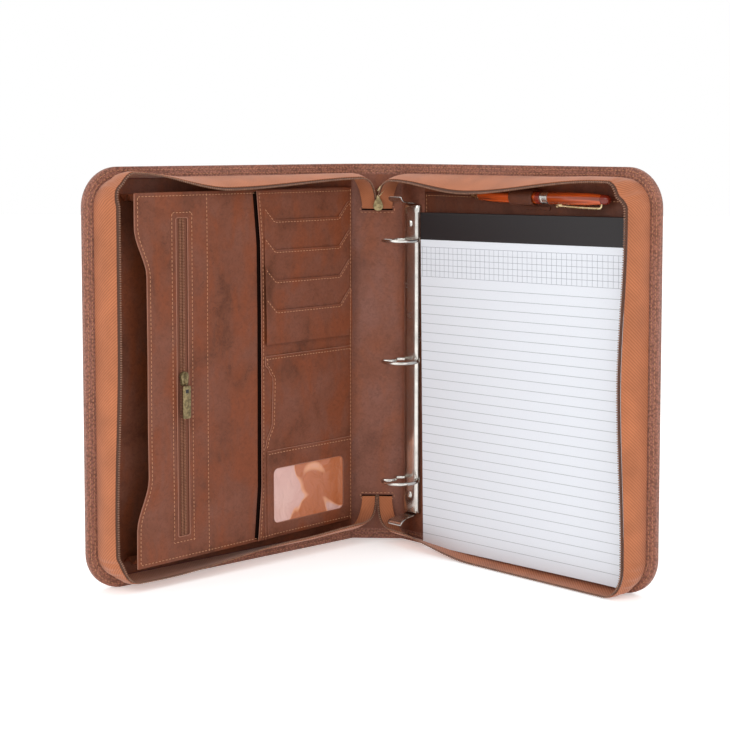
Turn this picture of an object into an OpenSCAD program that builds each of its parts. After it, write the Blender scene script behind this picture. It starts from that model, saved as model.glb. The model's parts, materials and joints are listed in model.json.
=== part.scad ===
// Zip-around three-ring portfolio case, standing open like a book.
//
// Frame: millimetres, +Z up along the spine, +X to the right, +Y out of the back of the spine.
// The origin is the bottom centre of the spine, in the middle of its thickness.
// Each cover is drawn in its own place: x runs out from the hinge, h runs inwards from the
// cover's inner face, and z runs up. The front cover mirrors the back one.

/* [Case] */
// Height of the case
case_h = 342; // [335:1:360]
// Width of each cover, from the end of its hinge crease to its outer edge
cover_w = 272; // [268:1:290]
// Thickness of cover and spine
cover_t = 4.5; // [4:0.1:6]
// Radius of the covers' outer corners
corner_r = 32; // [26:1:40]
// Distance of each hinge axis from the middle of the spine
hinge_x = 20.3; // [20:0.1:23]
// Inner radius of the hinge creases
crease_r = 5; // [5:0.1:6]
// Angle from the plane of the spine to each cover
cover_angle = 42; // [0:1:90]
// Width of the stitched rim round each cover
rim_w = 9.4; // [8:0.1:11]
// Thickness of the leather and of the lining
leather_t = 1.2; // [1:0.1:1.4]

/* [Zip] */
// Height of the fabric gusset above the cover
gusset_h = 25.1; // [22:0.1:25.2]
// Distance of the gusset from the outer edge and from the top
gusset_inset = 13.4; // [11:0.1:16]
// Distance of the front gusset from the bottom
front_gusset_foot = 11; // [9.5:0.1:14]
// Distance of the back gusset from the bottom
back_gusset_foot = 1; // [1:0.1:3]
// Thickness of the gusset fabric
fabric_t = 1.2; // [0.8:0.1:1.6]
// Height of the band of zip teeth
teeth_h = 1.4; // [1:0.1:2]

/* [Document pocket leaf] */
// Width of the leaf at its ends
leaf_w = 239; // [225:1:242]
// Depth of the hand recess in the leaf's outer edge
leaf_recess = 12; // [0:1:20]
// Height of the leaf's lower edge
leaf_foot = 19; // [17:0.5:24]
// Height of the leaf's upper edge
leaf_top = 321.5; // [315:0.5:323]
// Angle of the leaf to the cover
leaf_tilt = 5.1; // [4.2:0.1:5.6]
// Thickness of the leaf
leaf_t = 1.6; // [1.2:0.1:2]

/* [Zip pocket] */
// Distance of the zip from the leaf's hinge
zip_v = 192; // [188:1:200]
// Width of the opening round the zip
zip_gap = 12; // [10:0.5:14]
// Lower end of the zip opening
zip_foot = 38.5; // [30:0.5:50]
// Upper end of the zip opening
zip_top = 300.5; // [290:0.5:305]
// Middle of the parked slider
slider_z = 169.5; // [150:0.5:190]

/* [Card panel] */
// Width of the card panel
card_w = 109; // [100:1:114]
// Height of the highest card slot's edge
slot_z = 295.3; // [290:0.1:300]
// Distance between card slots
slot_pitch = 25.9; // [24:0.1:27]
// Upper edge of the large pocket
large_pocket_z = 178.4; // [170:0.1:185]
// Upper edge of the identity card pocket
id_pocket_z = 96; // [90:0.5:110]

/* [Ring mechanism] */
// Distance between rings
ring_pitch = 108; // [80:1:108]
// Outer radius of the rings
ring_r = 16.8; // [14:0.1:16.9]
// Diameter of the ring wire
wire_d = 3; // [2.4:0.1:3.4]
// Distance of the rings' middle from the hinge
ring_x = 12.9; // [12.8:0.1:14]
// Length of the arched plate
plate_l = 278; // [270:1:280]
// Width of the arched plate
plate_w = 19; // [18:0.5:20]
// Height of the levers above the cover
lever_h = 26; // [20:0.5:27]

/* [Memo pad] */
// Width of the pad
pad_w = 215.9; // [200:0.1:216]
// Height of the pad
pad_h = 296.4; // [279:0.1:297]
// Thickness of the paper
paper_t = 5; // [2:0.5:5]
// Height of the black binding strip
strip_h = 23.5; // [20:0.5:30]
// Turn of the pad, slightly askew in its holder
pad_turn = 0.8; // [0:0.1:1]

/* [Pen] */
// Diameter of the pen
pen_d = 10.4; // [8:0.1:10.4]
// Length of the pen
pen_l = 144; // [135:1:146]
// Distance of the pen's tip from the hinge
pen_x = 88; // [80:1:92]

/* [Hidden] */
$fn = 64;
MID_Z = case_h / 2;
INNER_Y = -cover_t / 2;
HINGE_Y = INNER_Y - crease_r;
SLAB_GAP = 0.5;
LINER_INSET = rim_w + 0.2;
BOARD_T = cover_t - 2 * leather_t;
TAPE_LOW = 16;
TEETH_LOW = gusset_h - teeth_h;
GUSSET_START = 14;
SLIT_W = 28;
SLIT_T = 1.6;
SLIT_TOP_Z = 301;
SLIT_FOOT_Z = 39.6;
LEAF_X = 3;
LEAF_H = 4;
RECESS_LOW = 60;
RECESS_HIGH = 285;
RECESS_SLOPE = 30;
LAYER_T = 0.6;
LAYER_STEP = 0.7;
CARD_EDGE = 2.5;
RING_Z = [MID_Z - 4.5 - ring_pitch, MID_Z - 4.5, MID_Z - 4.5 + ring_pitch];
RING_H = ring_r + 1.7;
WIRE_R = wire_d / 2;
RING_MID_R = ring_r - WIRE_R;
RING_LOW_ANGLE = 60;
PEG_X = RING_MID_R * cos(RING_LOW_ANGLE);
PEG_H = RING_H - RING_MID_R * sin(RING_LOW_ANGLE);
PEG_R = WIRE_R + 0.3;
BLADE_H = 2;
BLADE_T = 1;
BLADE_IN = 0.6;
BLADE_OUT = 6.7;
BLADE_END = 6.5;
LUG_HALF = 2.4;
NOTCH_HALF = 3;
PLATE_FOOT = MID_Z - 4.5 - plate_l / 2;
PLATE_TOP = PLATE_FOOT + plate_l;
PLATE_H = 5.8;
PLATE_T = 1;
POST_IN = 16.5;
POST_R = 2.2;
LEVER_HALF = 6.6;
LEVER_T = 1.2;
LEVER_PIN_R = 0.9;
LEVER_PIN_IN = 3;
LEVER_PIN_H = 3;
LEVER_PIN_HALF = 8.9;
HOLDER_H = 0.2;
HOLDER_T = 1.8;
HOLDER_FOOT = 11.5;
HOLDER_TOP = 317;
PAD_X = 30;
PAD_MID_Z = 152.4;
CARD_T = 1;
PAD_H0 = HOLDER_H + HOLDER_T + 0.1;
PAD_FACE = PAD_H0 + CARD_T + paper_t - 0.1;
STRIP_T = 0.3;
PEN_H = 9;
PEN_Z = 316;
PEN_R = pen_d / 2;
LOOP_X = 133;
LOOP_W = 24;
LOOP_T = 0.9;
TAIL_T = 0.6;
LOOP_R = PEN_R + 0.8;
BORE_R = 2.2;
TIP_L = 9;
LOWER_END = 75.7;
TUBE_FROM = 12;
TUBE_L = LOWER_END - TIP_L - 9.1 - TUBE_FROM;
TUBE_R = 3.4;
BAND_L = 8;
UPPER_END = pen_l - 8;
MAIN_SLIDER = [1, -4.4, 317];

// ---- Places -------------------------------------------------------------------------------

// The back cover's own place: x out from the hinge, -y inwards from the inner face
module on_back() {
    translate([hinge_x, HINGE_Y, 0])
        rotate([0, 0, -cover_angle])
            translate([0, crease_r, 0])
                children();
}

// The front cover's own place, the mirror of the back cover's
module on_front() {
    mirror([1, 0, 0])
        on_back() children();
}

// The document pocket leaf's place: x along the leaf, -y out of its face
module on_leaf() {
    on_front()
        translate([LEAF_X, -LEAF_H, 0])
            rotate([0, 0, -leaf_tilt])
                children();
}

// A flat piece drawn in x and z, from height h0 to height h1 above the face
module slab(h0, h1) {
    translate([0, -h0, 0])
        rotate([90, 0, 0])
            linear_extrude(h1 - h0)
                children();
}

// A box from x0 to x1, h0 to h1 and z0 to z1
module block(x0, x1, h0, h1, z0, z1) {
    translate([x0, -h1, z0])
        cube([x1 - x0, h1 - h0, z1 - z0]);
}

// ---- Shapes that repeat -------------------------------------------------------------------

// A cover's outline in x and z with two round outer corners
module cover_outline(x0, side_inset, top_inset, foot_inset) {
    r = corner_r - side_inset;
    x1 = cover_w - side_inset;
    z0 = foot_inset;
    z1 = case_h - top_inset;
    translate([x0, z0])
        square([x1 - r - x0, z1 - z0]);
    translate([x1 - r - 0.01, z0 + r])
        square([r + 0.01, z1 - z0 - 2 * r]);
    translate([x1 - r, z0 + r])
        circle(r);
    translate([x1 - r, z1 - r])
        circle(r);
}

// A closed rectangle with round corners
module round_box(w, h, r) {
    translate([r, 0])
        square([w - 2 * r, h]);
    translate([0, r])
        square([w, h - 2 * r]);
    for (x = [r, w - r], z = [r, h - r])
        translate([x, z])
            circle(r);
}

// The leather shell of a cover, with its full-thickness rim
module cover_shell() {
    difference() {
        slab(-cover_t, 0)
            cover_outline(SLAB_GAP, 0, 0, 0);
        slab(-cover_t + leather_t, 1)
            cover_outline(-1, rim_w, rim_w, rim_w);
    }
}

// A board or lining that lies inside the cover's rim
module cover_layer(h0, h1) {
    slab(h0, h1)
        cover_outline(SLAB_GAP, LINER_INSET, LINER_INSET, LINER_INSET);
}

// A band that follows the cover's three free edges
module edge_band(inset, foot, t, h0, h1) {
    slab(h0, h1)
        difference() {
            cover_outline(GUSSET_START, inset, inset, foot);
            cover_outline(GUSSET_START - 1, inset + t, inset + t, foot + t);
        }
}

// The hinge's bent leather between the spine and the back cover
module crease() {
    translate([hinge_x, HINGE_Y, 0])
        rotate([0, 0, 90 - cover_angle])
            rotate_extrude(angle = cover_angle)
                translate([crease_r + 0.2, 0])
                    square([cover_t - 0.4, case_h]);
}

// One tail of zip tape, from the gusset's end to the slit in the spine
module zip_tail(gusset_z, slit_z) {
    hull() {
        on_back()
            block(GUSSET_START - 1.5, GUSSET_START - 0.5, 16, 24, gusset_z, gusset_z + 1);
        translate([1, INNER_Y - 0.7, slit_z])
            cube([12, 0.5, 1]);
    }
}

// Both tails of the back cover
module zip_tails(foot) {
    zip_tail(case_h - gusset_inset - 8, SLIT_TOP_Z);
    zip_tail(foot + 8, SLIT_FOOT_Z);
}

// ---- Spine --------------------------------------------------------------------------------

module spine_slab(y0, y1, z0, z1) {
    half = hinge_x - SLAB_GAP;
    translate([-half, y0, z0])
        cube([2 * half, y1 - y0, z1 - z0]);
}

module spine_outer_cover() color("#7c554a") difference() {
    spine_slab(-cover_t / 2, cover_t / 2, 0, case_h);
    translate([-2 * hinge_x, INNER_Y - 1, rim_w])
        cube([4 * hinge_x, cover_t - leather_t + 1, case_h - 2 * rim_w]);
}

module spine_board() color("#6b5a48")
    spine_slab(INNER_Y + leather_t, INNER_Y + leather_t + BOARD_T, LINER_INSET, case_h - LINER_INSET);

module spine_lining() color("#7f5548") difference() {
    spine_slab(INNER_Y, INNER_Y + leather_t, LINER_INSET, case_h - LINER_INSET);
    for (z = [SLIT_TOP_Z, SLIT_FOOT_Z])
        translate([-SLIT_W / 2, INNER_Y - 1, z - SLIT_T / 2])
            cube([SLIT_W, leather_t + 2, SLIT_T]);
}

// The slider's two plates joined by its wedge, with a bridge for the pull
module zip_slider(w, h, depth) {
    plate_t = 1.1;
    bridge_t = 1.2;
    block(-w / 2, w / 2, 0, plate_t, -h / 2, h / 2);
    block(-w / 2, w / 2, depth - plate_t, depth, -h / 2, h / 2);
    block(-w / 7, w / 7, plate_t, depth - plate_t, 0, h / 2);
    block(-w / 10, w / 10, depth, depth + bridge_t + 1.4, h / 2 - 2, h / 2);
    block(-w / 10, w / 10, depth, depth + bridge_t + 1.4, -h / 2, -h / 2 + 2);
    block(-w / 10, w / 10, depth + 1.4, depth + 1.4 + bridge_t, -h / 2, h / 2);
}

module main_zip_slider() color("#b08d3e")
    translate(MAIN_SLIDER)
        zip_slider(8, 10, 3);

// An oval pull tip on a narrow neck, hanging below the slider
module main_zip_pull() color("#8c7a45")
    translate([MAIN_SLIDER.x, MAIN_SLIDER.y - 5.9, MAIN_SLIDER.z])
        rotate([90, 0, 0])
            linear_extrude(1.2)
                difference() {
                    union() {
                        translate([-1.6, -9])
                            square([3.2, 6]);
                        translate([0, -13])
                            circle(4.6);
                        translate([0, -11])
                            circle(4.2);
                    }
                    translate([0, -14])
                        circle(1.6);
                }

// ---- Covers -------------------------------------------------------------------------------

module front_outer_cover() color("#7c554a") on_front() cover_shell();
module back_outer_cover() color("#7c554a") on_back() cover_shell();

module front_board() color("#6b5a48")
    on_front() cover_layer(-leather_t - BOARD_T, -leather_t);
module back_board() color("#6b5a48")
    on_back() cover_layer(-leather_t - BOARD_T, -leather_t);

module front_lining() color("#7d4b37") on_front() cover_layer(-leather_t, 0);
module back_lining() color("#7d4b37") on_back() cover_layer(-leather_t, 0);

module front_gusset() color("#be7348")
    on_front() edge_band(gusset_inset, front_gusset_foot, fabric_t, 0.1, TEETH_LOW - 0.1);
module back_gusset() color("#be7348")
    on_back() edge_band(gusset_inset, back_gusset_foot, fabric_t, 0.1, TEETH_LOW - 0.1);

module zip_tape(foot) {
    step = fabric_t + 0.1;
    edge_band(gusset_inset + step, foot + step, 0.5, TAPE_LOW, TEETH_LOW - 0.1);
}
module front_zip_tape() color("#3d2a20") on_front() zip_tape(front_gusset_foot);
module back_zip_tape() color("#3d2a20") on_back() zip_tape(back_gusset_foot);

module front_zip_teeth() color("#8b6b4c")
    on_front() edge_band(gusset_inset, front_gusset_foot, 2, TEETH_LOW, gusset_h);
module back_zip_teeth() color("#8b6b4c")
    on_back() edge_band(gusset_inset, back_gusset_foot, 2, TEETH_LOW, gusset_h);

module back_zip_tails() color("#be7348") zip_tails(back_gusset_foot);
module front_zip_tails() color("#be7348") mirror([1, 0, 0]) zip_tails(front_gusset_foot);

module back_hinge_crease() color("#7f5548") crease();
module front_hinge_crease() color("#7f5548") mirror([1, 0, 0]) crease();

// ---- Document pocket leaf -----------------------------------------------------------------

// The two folded ends of the document pocket, between the cover and the leaf
module pocket_bellows() color("#6a3d2c") on_front() {
    high_x = LEAF_X + (leaf_w - 4) * cos(leaf_tilt);
    high_h = LEAF_H - leaf_t - 0.5 + (leaf_w - 4) * sin(leaf_tilt);
    for (z = [leaf_foot + 2, leaf_top - 3])
        translate([0, 0, z])
            linear_extrude(1)
                polygon([[20, -0.2], [high_x, -0.2], [high_x, -high_h],
                         [20, -LEAF_H + leaf_t + 0.5 - (20 - LEAF_X) * sin(leaf_tilt)]]);
}

// The leaf's outline: straight edges with a shallow hand recess in the outer one
module leaf_outline() {
    deep = leaf_w - leaf_recess;
    polygon([[0, leaf_foot], [leaf_w, leaf_foot], [leaf_w, RECESS_LOW - 8],
             [leaf_w - 2, RECESS_LOW], [deep + 2, RECESS_LOW + RECESS_SLOPE - 8],
             [deep, RECESS_LOW + RECESS_SLOPE], [deep, RECESS_HIGH - RECESS_SLOPE],
             [deep + 2, RECESS_HIGH - RECESS_SLOPE + 8], [leaf_w - 2, RECESS_HIGH],
             [leaf_w, RECESS_HIGH + 8], [leaf_w, leaf_top], [0, leaf_top]]);
}

module zip_window(grow) {
    translate([zip_v - zip_gap / 2 - grow, zip_foot - grow])
        round_box(zip_gap + 2 * grow, zip_top - zip_foot + 2 * grow, 2 + grow);
}

module document_pocket_leaf() color("#7d4b37") on_leaf() difference() {
    slab(-leaf_t, 0) leaf_outline();
    slab(-leaf_t - 1, 1) zip_window(0);
}

module zip_pocket_bag() color("#2a1410") on_leaf()
    block(zip_v - 70, zip_v + 26, -leaf_t - 0.8, -leaf_t - 0.2, zip_foot - 8, zip_top + 8);

module pocket_zip_tape() color("#5a3423") on_leaf()
    for (side = [-1, 1])
        block(zip_v + side * 3 - 2.7, zip_v + side * 3 + 2.7, -1.4, -0.9, zip_foot + 1, zip_top - 1);

module pocket_zip_teeth() color("#a8744f") on_leaf()
    block(zip_v - 2.2, zip_v + 2.2, -0.8, 0.4, zip_foot + 2, zip_top - 2);

module pocket_zip_slider() color("#8c7a45") on_leaf()
    translate([zip_v, -0.7, slider_z])
        zip_slider(7.5, 12, 2);

// A flat tab with a square hole below the slider
module pocket_zip_pull() color("#8c7a45") on_leaf()
    slab(6, 7.4)
        translate([zip_v - 4, slider_z - 33])
            difference() {
                round_box(8, 27, 1.2);
                translate([2.5, 21.5])
                    square(3);
            }

// ---- Card panel ---------------------------------------------------------------------------

function layer_h(k) = 0.1 + k * LAYER_STEP;

// One piece of the card panel, on layer k
module card_layer(k) {
    slab(layer_h(k), layer_h(k) + LAYER_T)
        children();
}

module card_panel() color("#7d4b37") on_leaf() card_layer(0)
    polygon([[CARD_EDGE, leaf_foot + 1], [card_w + 4, leaf_foot + 1], [card_w, leaf_foot + 40],
             [card_w, leaf_top - 40], [card_w + 4, leaf_top - 1], [CARD_EDGE, leaf_top - 1]]);

// A card slot's leather: a flat edge with a slanted shoulder at each end
module card_slot(k) {
    z = slot_z - (k - 1) * slot_pitch;
    foot = z - slot_pitch - 3;
    color("#7d4b37") on_leaf() card_layer(k)
        polygon([[CARD_EDGE, foot], [card_w - 4, foot], [card_w - 5, z + 11], [card_w - 13, z],
                 [17, z], [5.5, z + 13], [CARD_EDGE, z + 13]]);
}

module card_slot_1() card_slot(1);
module card_slot_2() card_slot(2);
module card_slot_3() card_slot(3);
module card_slot_4() card_slot(4);

// The large pocket, with a thumb notch in its free side
module large_card_pocket() color("#7d4b37") on_leaf() card_layer(1)
    polygon([[CARD_EDGE, leaf_foot + 1.5], [card_w, leaf_foot + 1.5], [card_w - 6, 103],
             [card_w - 11, 122], [card_w - 12, 158], [card_w - 9.5, 165], [card_w - 3, 170],
             [card_w - 3, large_pocket_z], [CARD_EDGE, large_pocket_z]]);

module id_window_shape(inset) {
    translate([12.5 + inset, 32 + inset])
        round_box(83.5 - 2 * inset, 48 - 2 * inset, 5 - inset);
}

module id_pocket() color("#7d4b37") on_leaf() card_layer(2)
    difference() {
        translate([CARD_EDGE, leaf_foot + 2])
            square([card_w - 5.5, id_pocket_z - leaf_foot - 2]);
        id_window_shape(0);
    }

module id_window() color("#d8c4bc") on_leaf()
    slab(layer_h(2) + 0.1, layer_h(2) + 0.4)
        id_window_shape(0.1);

// ---- Back cover's fittings ----------------------------------------------------------------

module pad_holder() color("#7d4b37") on_back()
    slab(HOLDER_H, HOLDER_H + HOLDER_T)
        translate([27.3, HOLDER_FOOT])
            square([226, HOLDER_TOP - HOLDER_FOOT]);

// The pen's loop, with its sewn tail on the holder
module pen_loop() color("#7d4b37") on_back() {
    tail_h = HOLDER_H + HOLDER_T + 0.05;
    translate([LOOP_X, -PEN_H, PEN_Z])
        rotate([0, 90, 0])
            difference() {
                cylinder(h = LOOP_W, r = LOOP_R + LOOP_T);
                translate([0, 0, -1])
                    cylinder(h = LOOP_W + 2, r = LOOP_R);
            }
    block(LOOP_X + 2, LOOP_X + 35, tail_h, tail_h + TAIL_T, 304.4, 308.5);
    block(LOOP_X + 2, LOOP_X + LOOP_W - 2, tail_h, tail_h + TAIL_T, 308.4, 315);
}

// ---- Ring mechanism -----------------------------------------------------------------------

// Arched plate, with notches for the rings and holes for the posts and the levers' pins
module ring_plate() color("#d8d8d6") on_back() {
    w = plate_w / 2;
    difference() {
        translate([ring_x, 0, PLATE_FOOT])
            linear_extrude(plate_l)
                polygon([[-w, -1], [-w + 2.5, -PLATE_H], [w - 2.5, -PLATE_H], [w, -1],
                         [w - 1.1, -1], [w - 3.1, -PLATE_H + PLATE_T],
                         [-w + 3.1, -PLATE_H + PLATE_T], [-w + 1.1, -1]]);
        for (z = RING_Z, side = [-1, 1])
            translate([ring_x + side * (PEG_X + 0.5) - 3.5, -10, z - NOTCH_HALF])
                cube([7, 10, 2 * NOTCH_HALF]);
        for (z = [PLATE_FOOT + LEVER_PIN_IN, PLATE_TOP - LEVER_PIN_IN])
            translate([ring_x - w - 1, -LEVER_PIN_H, z])
                rotate([0, 90, 0])
                    cylinder(h = plate_w + 2, r = LEVER_PIN_R + 0.3);
        for (z = [PLATE_FOOT + POST_IN, PLATE_TOP - POST_IN])
            translate([ring_x, 0, z])
                rotate([90, 0, 0])
                    cylinder(h = 10, r = POST_R + 0.05);
    }
}

// Rivet posts that hold the plate to the cover, with domed heads
module plate_posts() color("#e4e4e2") on_back()
    for (z = [PLATE_FOOT + POST_IN, PLATE_TOP - POST_IN])
        translate([ring_x, 0, z])
            rotate([90, 0, 0]) {
                translate([0, 0, 0.1])
                    cylinder(h = PLATE_H + 0.1, r = POST_R);
                translate([0, 0, PLATE_H + 0.1])
                    intersection() {
                        translate([0, 0, -4])
                            sphere(5.2);
                        cylinder(h = 3, r = 4);
                    }
            }

// The hinged strip under the plate that carries one row of ring halves, each on its own lug
module ring_blade(side) {
    inner = side * BLADE_IN;
    outer = side * BLADE_OUT;
    lug = side * (PEG_X + PEG_R + 0.6);
    difference() {
        union() {
            block(ring_x + min(inner, outer), ring_x + max(inner, outer), BLADE_H,
                  BLADE_H + BLADE_T, RING_Z[0] - BLADE_END, RING_Z[2] + BLADE_END);
            for (z = RING_Z)
                block(ring_x + min(inner, lug), ring_x + max(inner, lug), BLADE_H,
                      BLADE_H + BLADE_T, z - LUG_HALF, z + LUG_HALF);
        }
        for (z = RING_Z)
            translate([ring_x + side * PEG_X, 0, z])
                rotate([90, 0, 0])
                    cylinder(h = 6, r = PEG_R + 0.05);
    }
}

// One half of each ring: an arc of wire with a peg set into the blade
module ring_halves(side) {
    start = side > 0 ? -RING_LOW_ANGLE : 90.6;
    for (z = RING_Z) {
        translate([ring_x, -RING_H, z])
            mirror([0, 1, 0])
                rotate([0, 0, start])
                    rotate_extrude(angle = 89.4 + RING_LOW_ANGLE)
                        translate([RING_MID_R, 0])
                            circle(WIRE_R);
        translate([ring_x + side * PEG_X, -BLADE_H, z])
            rotate([90, 0, 0])
                cylinder(h = PEG_H + 1.4 - BLADE_H, r = PEG_R);
    }
}

module left_ring_blade() color("#b9b9b7") on_back() ring_blade(-1);
module left_ring_halves() color("#dcdcda") on_back() ring_halves(-1);
module right_ring_blade() color("#b9b9b7") on_back() ring_blade(1);
module right_ring_halves() color("#dcdcda") on_back() ring_halves(1);

// A part of a lever, from h0 to h1 and from z0 to z1 above the plate's end
module lever_part(half, h0, h1, z0, z1)
    block(ring_x - half, ring_x + half, h0, h1, PLATE_TOP + z0, PLATE_TOP + z1);

// A lever at the upper end of the plate: its foot, stem, curled thumb tab and pin
module lever() {
    tab = LEVER_HALF + 1.5;
    shelf = lever_h - 3;
    lever_part(LEVER_HALF, 2.5, 3.6, -4.2, 1.4);
    lever_part(LEVER_HALF, 2.5, shelf, 1.3, 1.3 + LEVER_T);
    lever_part(tab, shelf - LEVER_T, shelf, 1.3, 5.5);
    lever_part(tab, shelf - LEVER_T, lever_h, 5.6 - LEVER_T, 5.6);
    translate([ring_x - LEVER_PIN_HALF, -LEVER_PIN_H, PLATE_TOP - LEVER_PIN_IN])
        rotate([0, 90, 0])
            cylinder(h = 2 * LEVER_PIN_HALF, r = LEVER_PIN_R);
}

module top_lever() color("#dcdcda") on_back() lever();
module bottom_lever() color("#dcdcda") on_back()
    translate([0, 0, PLATE_FOOT + PLATE_TOP])
        mirror([0, 0, 1])
            lever();

// ---- Memo pad -----------------------------------------------------------------------------

// A layer of the pad, from h0 to h1 and from z0 to z1 above the pad's middle
module pad_layer(h0, h1, z0, z1) {
    half = pad_w / 2;
    on_back()
        translate([PAD_X + half, 0, PAD_MID_Z])
            rotate([0, -pad_turn, 0])
                block(-half, half, h0, h1, z0, z1);
}

module pad_backing_card() color("#b59a78")
    pad_layer(PAD_H0, PAD_H0 + CARD_T, -pad_h / 2, pad_h / 2);

module pad_paper() color("#eceef3")
    pad_layer(PAD_H0 + CARD_T, PAD_FACE, -pad_h / 2, pad_h / 2);

module pad_binding_strip() color("#3a3538") {
    top = pad_h / 2;
    pad_layer(PAD_FACE, PAD_FACE + STRIP_T, top - strip_h, top + STRIP_T);
    pad_layer(PAD_H0, PAD_FACE + STRIP_T, top, top + STRIP_T);
}

// ---- Pen ----------------------------------------------------------------------------------

// Places a pen part whose own axis runs along +Z from the tip
module on_pen(from) {
    on_back()
        translate([pen_x + from, -PEN_H, PEN_Z])
            rotate([0, 90, 0])
                children();
}

module pen_tip() color("#c9a24a") on_pen(0) difference() {
    cylinder(h = TIP_L - 0.05, r1 = 1.6, r2 = 3.6);
    translate([0, 0, -1])
        cylinder(h = TIP_L + 2, r = 1.2);
}

module pen_lower_barrel() color("#a8552a") on_pen(TIP_L) difference() {
    union() {
        cylinder(h = 22, r1 = 3.7, r2 = PEN_R);
        translate([0, 0, 22])
            cylinder(h = LOWER_END - TIP_L - 22, r = PEN_R);
    }
    translate([0, 0, -1])
        cylinder(h = LOWER_END, r = BORE_R);
    translate([0, 0, TUBE_FROM - 0.1])
        cylinder(h = TUBE_L + 1, r = TUBE_R + 0.1);
    translate([0, 0, TUBE_FROM + TUBE_L])
        cylinder(h = 20, r = 3.5);
}

// Brass tube that lines the lower barrel and guides the refill
module pen_tube() color("#c9a24a") on_pen(TIP_L + TUBE_FROM) difference() {
    cylinder(h = TUBE_L, r = TUBE_R);
    translate([0, 0, -1])
        cylinder(h = TUBE_L + 2, r = BORE_R);
}

module pen_band() color("#b9b9b7") on_pen(LOWER_END + 0.3) difference() {
    union() {
        cylinder(h = BAND_L, r = PEN_R + 0.1);
        translate([0, 0, -7])
            cylinder(h = 7.1, r = 3.2);
    }
    translate([0, 0, -8])
        cylinder(h = BAND_L + 9, r = BORE_R);
}

module pen_upper_barrel() color("#a8552a") on_pen(LOWER_END + 0.3 + BAND_L) difference() {
    cylinder(h = UPPER_END - LOWER_END - BAND_L - 0.3, r = PEN_R);
    translate([0, 0, -1])
        cylinder(h = UPPER_END - LOWER_END - BAND_L - 12, r = BORE_R);
}

module pen_finial() color("#a03020") on_pen(UPPER_END) {
    cylinder(h = 5, r = PEN_R - 0.4);
    translate([0, 0, 5])
        cylinder(h = pen_l - UPPER_END - 5, r1 = PEN_R - 0.4, r2 = PEN_R - 2);
}

// Spring clip with a ball end, fixed to the finial's collar
module pen_clip() color("#c9a24a") on_back() {
    x1 = pen_x + UPPER_END;
    z0 = PEN_Z - PEN_R - 1.4;
    block(x1 - 44, x1 - 0.2, PEN_H - 1.2, PEN_H + 1.2, z0 - 0.9, z0);
    block(x1 - 2.2, x1 - 0.2, PEN_H - 1.2, PEN_H + 1.2, z0 - 0.1, PEN_Z - PEN_R - 0.1);
    translate([x1 - 44, -PEN_H, z0 - 0.3])
        sphere(1.3);
}

module pen_refill() color("#3a3538") on_pen(0.6) {
    cylinder(h = 14, r = 0.8);
    translate([0, 0, 12.6])
        cylinder(h = 97, r = 1.7);
}

spine_outer_cover();
spine_board();
spine_lining();
main_zip_slider();
main_zip_pull();
front_outer_cover();
front_board();
front_lining();
front_gusset();
front_zip_tape();
front_zip_teeth();
front_zip_tails();
front_hinge_crease();
pocket_bellows();
document_pocket_leaf();
zip_pocket_bag();
pocket_zip_tape();
pocket_zip_teeth();
pocket_zip_slider();
pocket_zip_pull();
card_panel();
card_slot_1();
card_slot_2();
card_slot_3();
card_slot_4();
large_card_pocket();
id_pocket();
id_window();
back_outer_cover();
back_board();
back_lining();
back_gusset();
back_zip_tape();
back_zip_teeth();
back_zip_tails();
back_hinge_crease();
pad_holder();
pen_loop();
ring_plate();
plate_posts();
left_ring_blade();
left_ring_halves();
right_ring_blade();
right_ring_halves();
top_lever();
bottom_lever();
pad_backing_card();
pad_paper();
pad_binding_strip();
pen_lower_barrel();
pen_tip();
pen_refill();
pen_upper_barrel();
pen_band();
pen_clip();
pen_finial();
pen_tube();
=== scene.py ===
"""Looks of a leather portfolio case: leather, cloth, stitches, zips, ring mechanism, pad and pen."""

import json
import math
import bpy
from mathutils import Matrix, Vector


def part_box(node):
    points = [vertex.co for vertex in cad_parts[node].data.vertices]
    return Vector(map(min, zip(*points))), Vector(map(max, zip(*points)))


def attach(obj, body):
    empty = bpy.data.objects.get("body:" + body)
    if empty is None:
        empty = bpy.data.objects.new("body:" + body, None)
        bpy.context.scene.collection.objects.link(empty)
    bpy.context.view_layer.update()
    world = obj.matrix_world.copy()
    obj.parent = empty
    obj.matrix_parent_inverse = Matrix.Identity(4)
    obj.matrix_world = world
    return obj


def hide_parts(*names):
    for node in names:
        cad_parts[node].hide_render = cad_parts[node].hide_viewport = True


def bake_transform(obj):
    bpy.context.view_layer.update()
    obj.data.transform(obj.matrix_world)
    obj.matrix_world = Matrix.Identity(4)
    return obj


bl_info = {
    "name": "Portfolio Case Looks",
    "version": (1, 0, 0),
    "blender": (4, 5, 0),
    "location": "View3D > Sidebar > Portfolio Case",
    "description": "Builds the leather, cloth, zips, rings, pad and pen of an open portfolio case",
    "category": "Add Mesh",
}

import bmesh
import bpy
import numpy as np
from mathutils import Vector, noise

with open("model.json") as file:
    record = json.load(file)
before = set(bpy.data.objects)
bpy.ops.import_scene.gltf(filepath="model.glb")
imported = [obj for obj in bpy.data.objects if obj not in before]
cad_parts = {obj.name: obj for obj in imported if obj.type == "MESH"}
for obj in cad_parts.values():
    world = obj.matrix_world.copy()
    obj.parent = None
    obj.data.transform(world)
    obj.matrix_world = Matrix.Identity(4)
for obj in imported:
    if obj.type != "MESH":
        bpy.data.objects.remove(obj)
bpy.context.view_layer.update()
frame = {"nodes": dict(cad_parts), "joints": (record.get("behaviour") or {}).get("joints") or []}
JOINTS = {joint["name"]: joint for joint in frame["joints"]}
MM = 0.001

# ---- Places, read from the frame -----------------------------------------------------------

BACK_HINGE = Vector(JOINTS["back_cover_hinge"]["pos_m"])
OUT = Vector(JOINTS["pen_slide"]["axis"])
IN = Vector((OUT.y, -OUT.x, 0.0))
COVER_ANGLE = math.atan2(-OUT.y, OUT.x)


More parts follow.
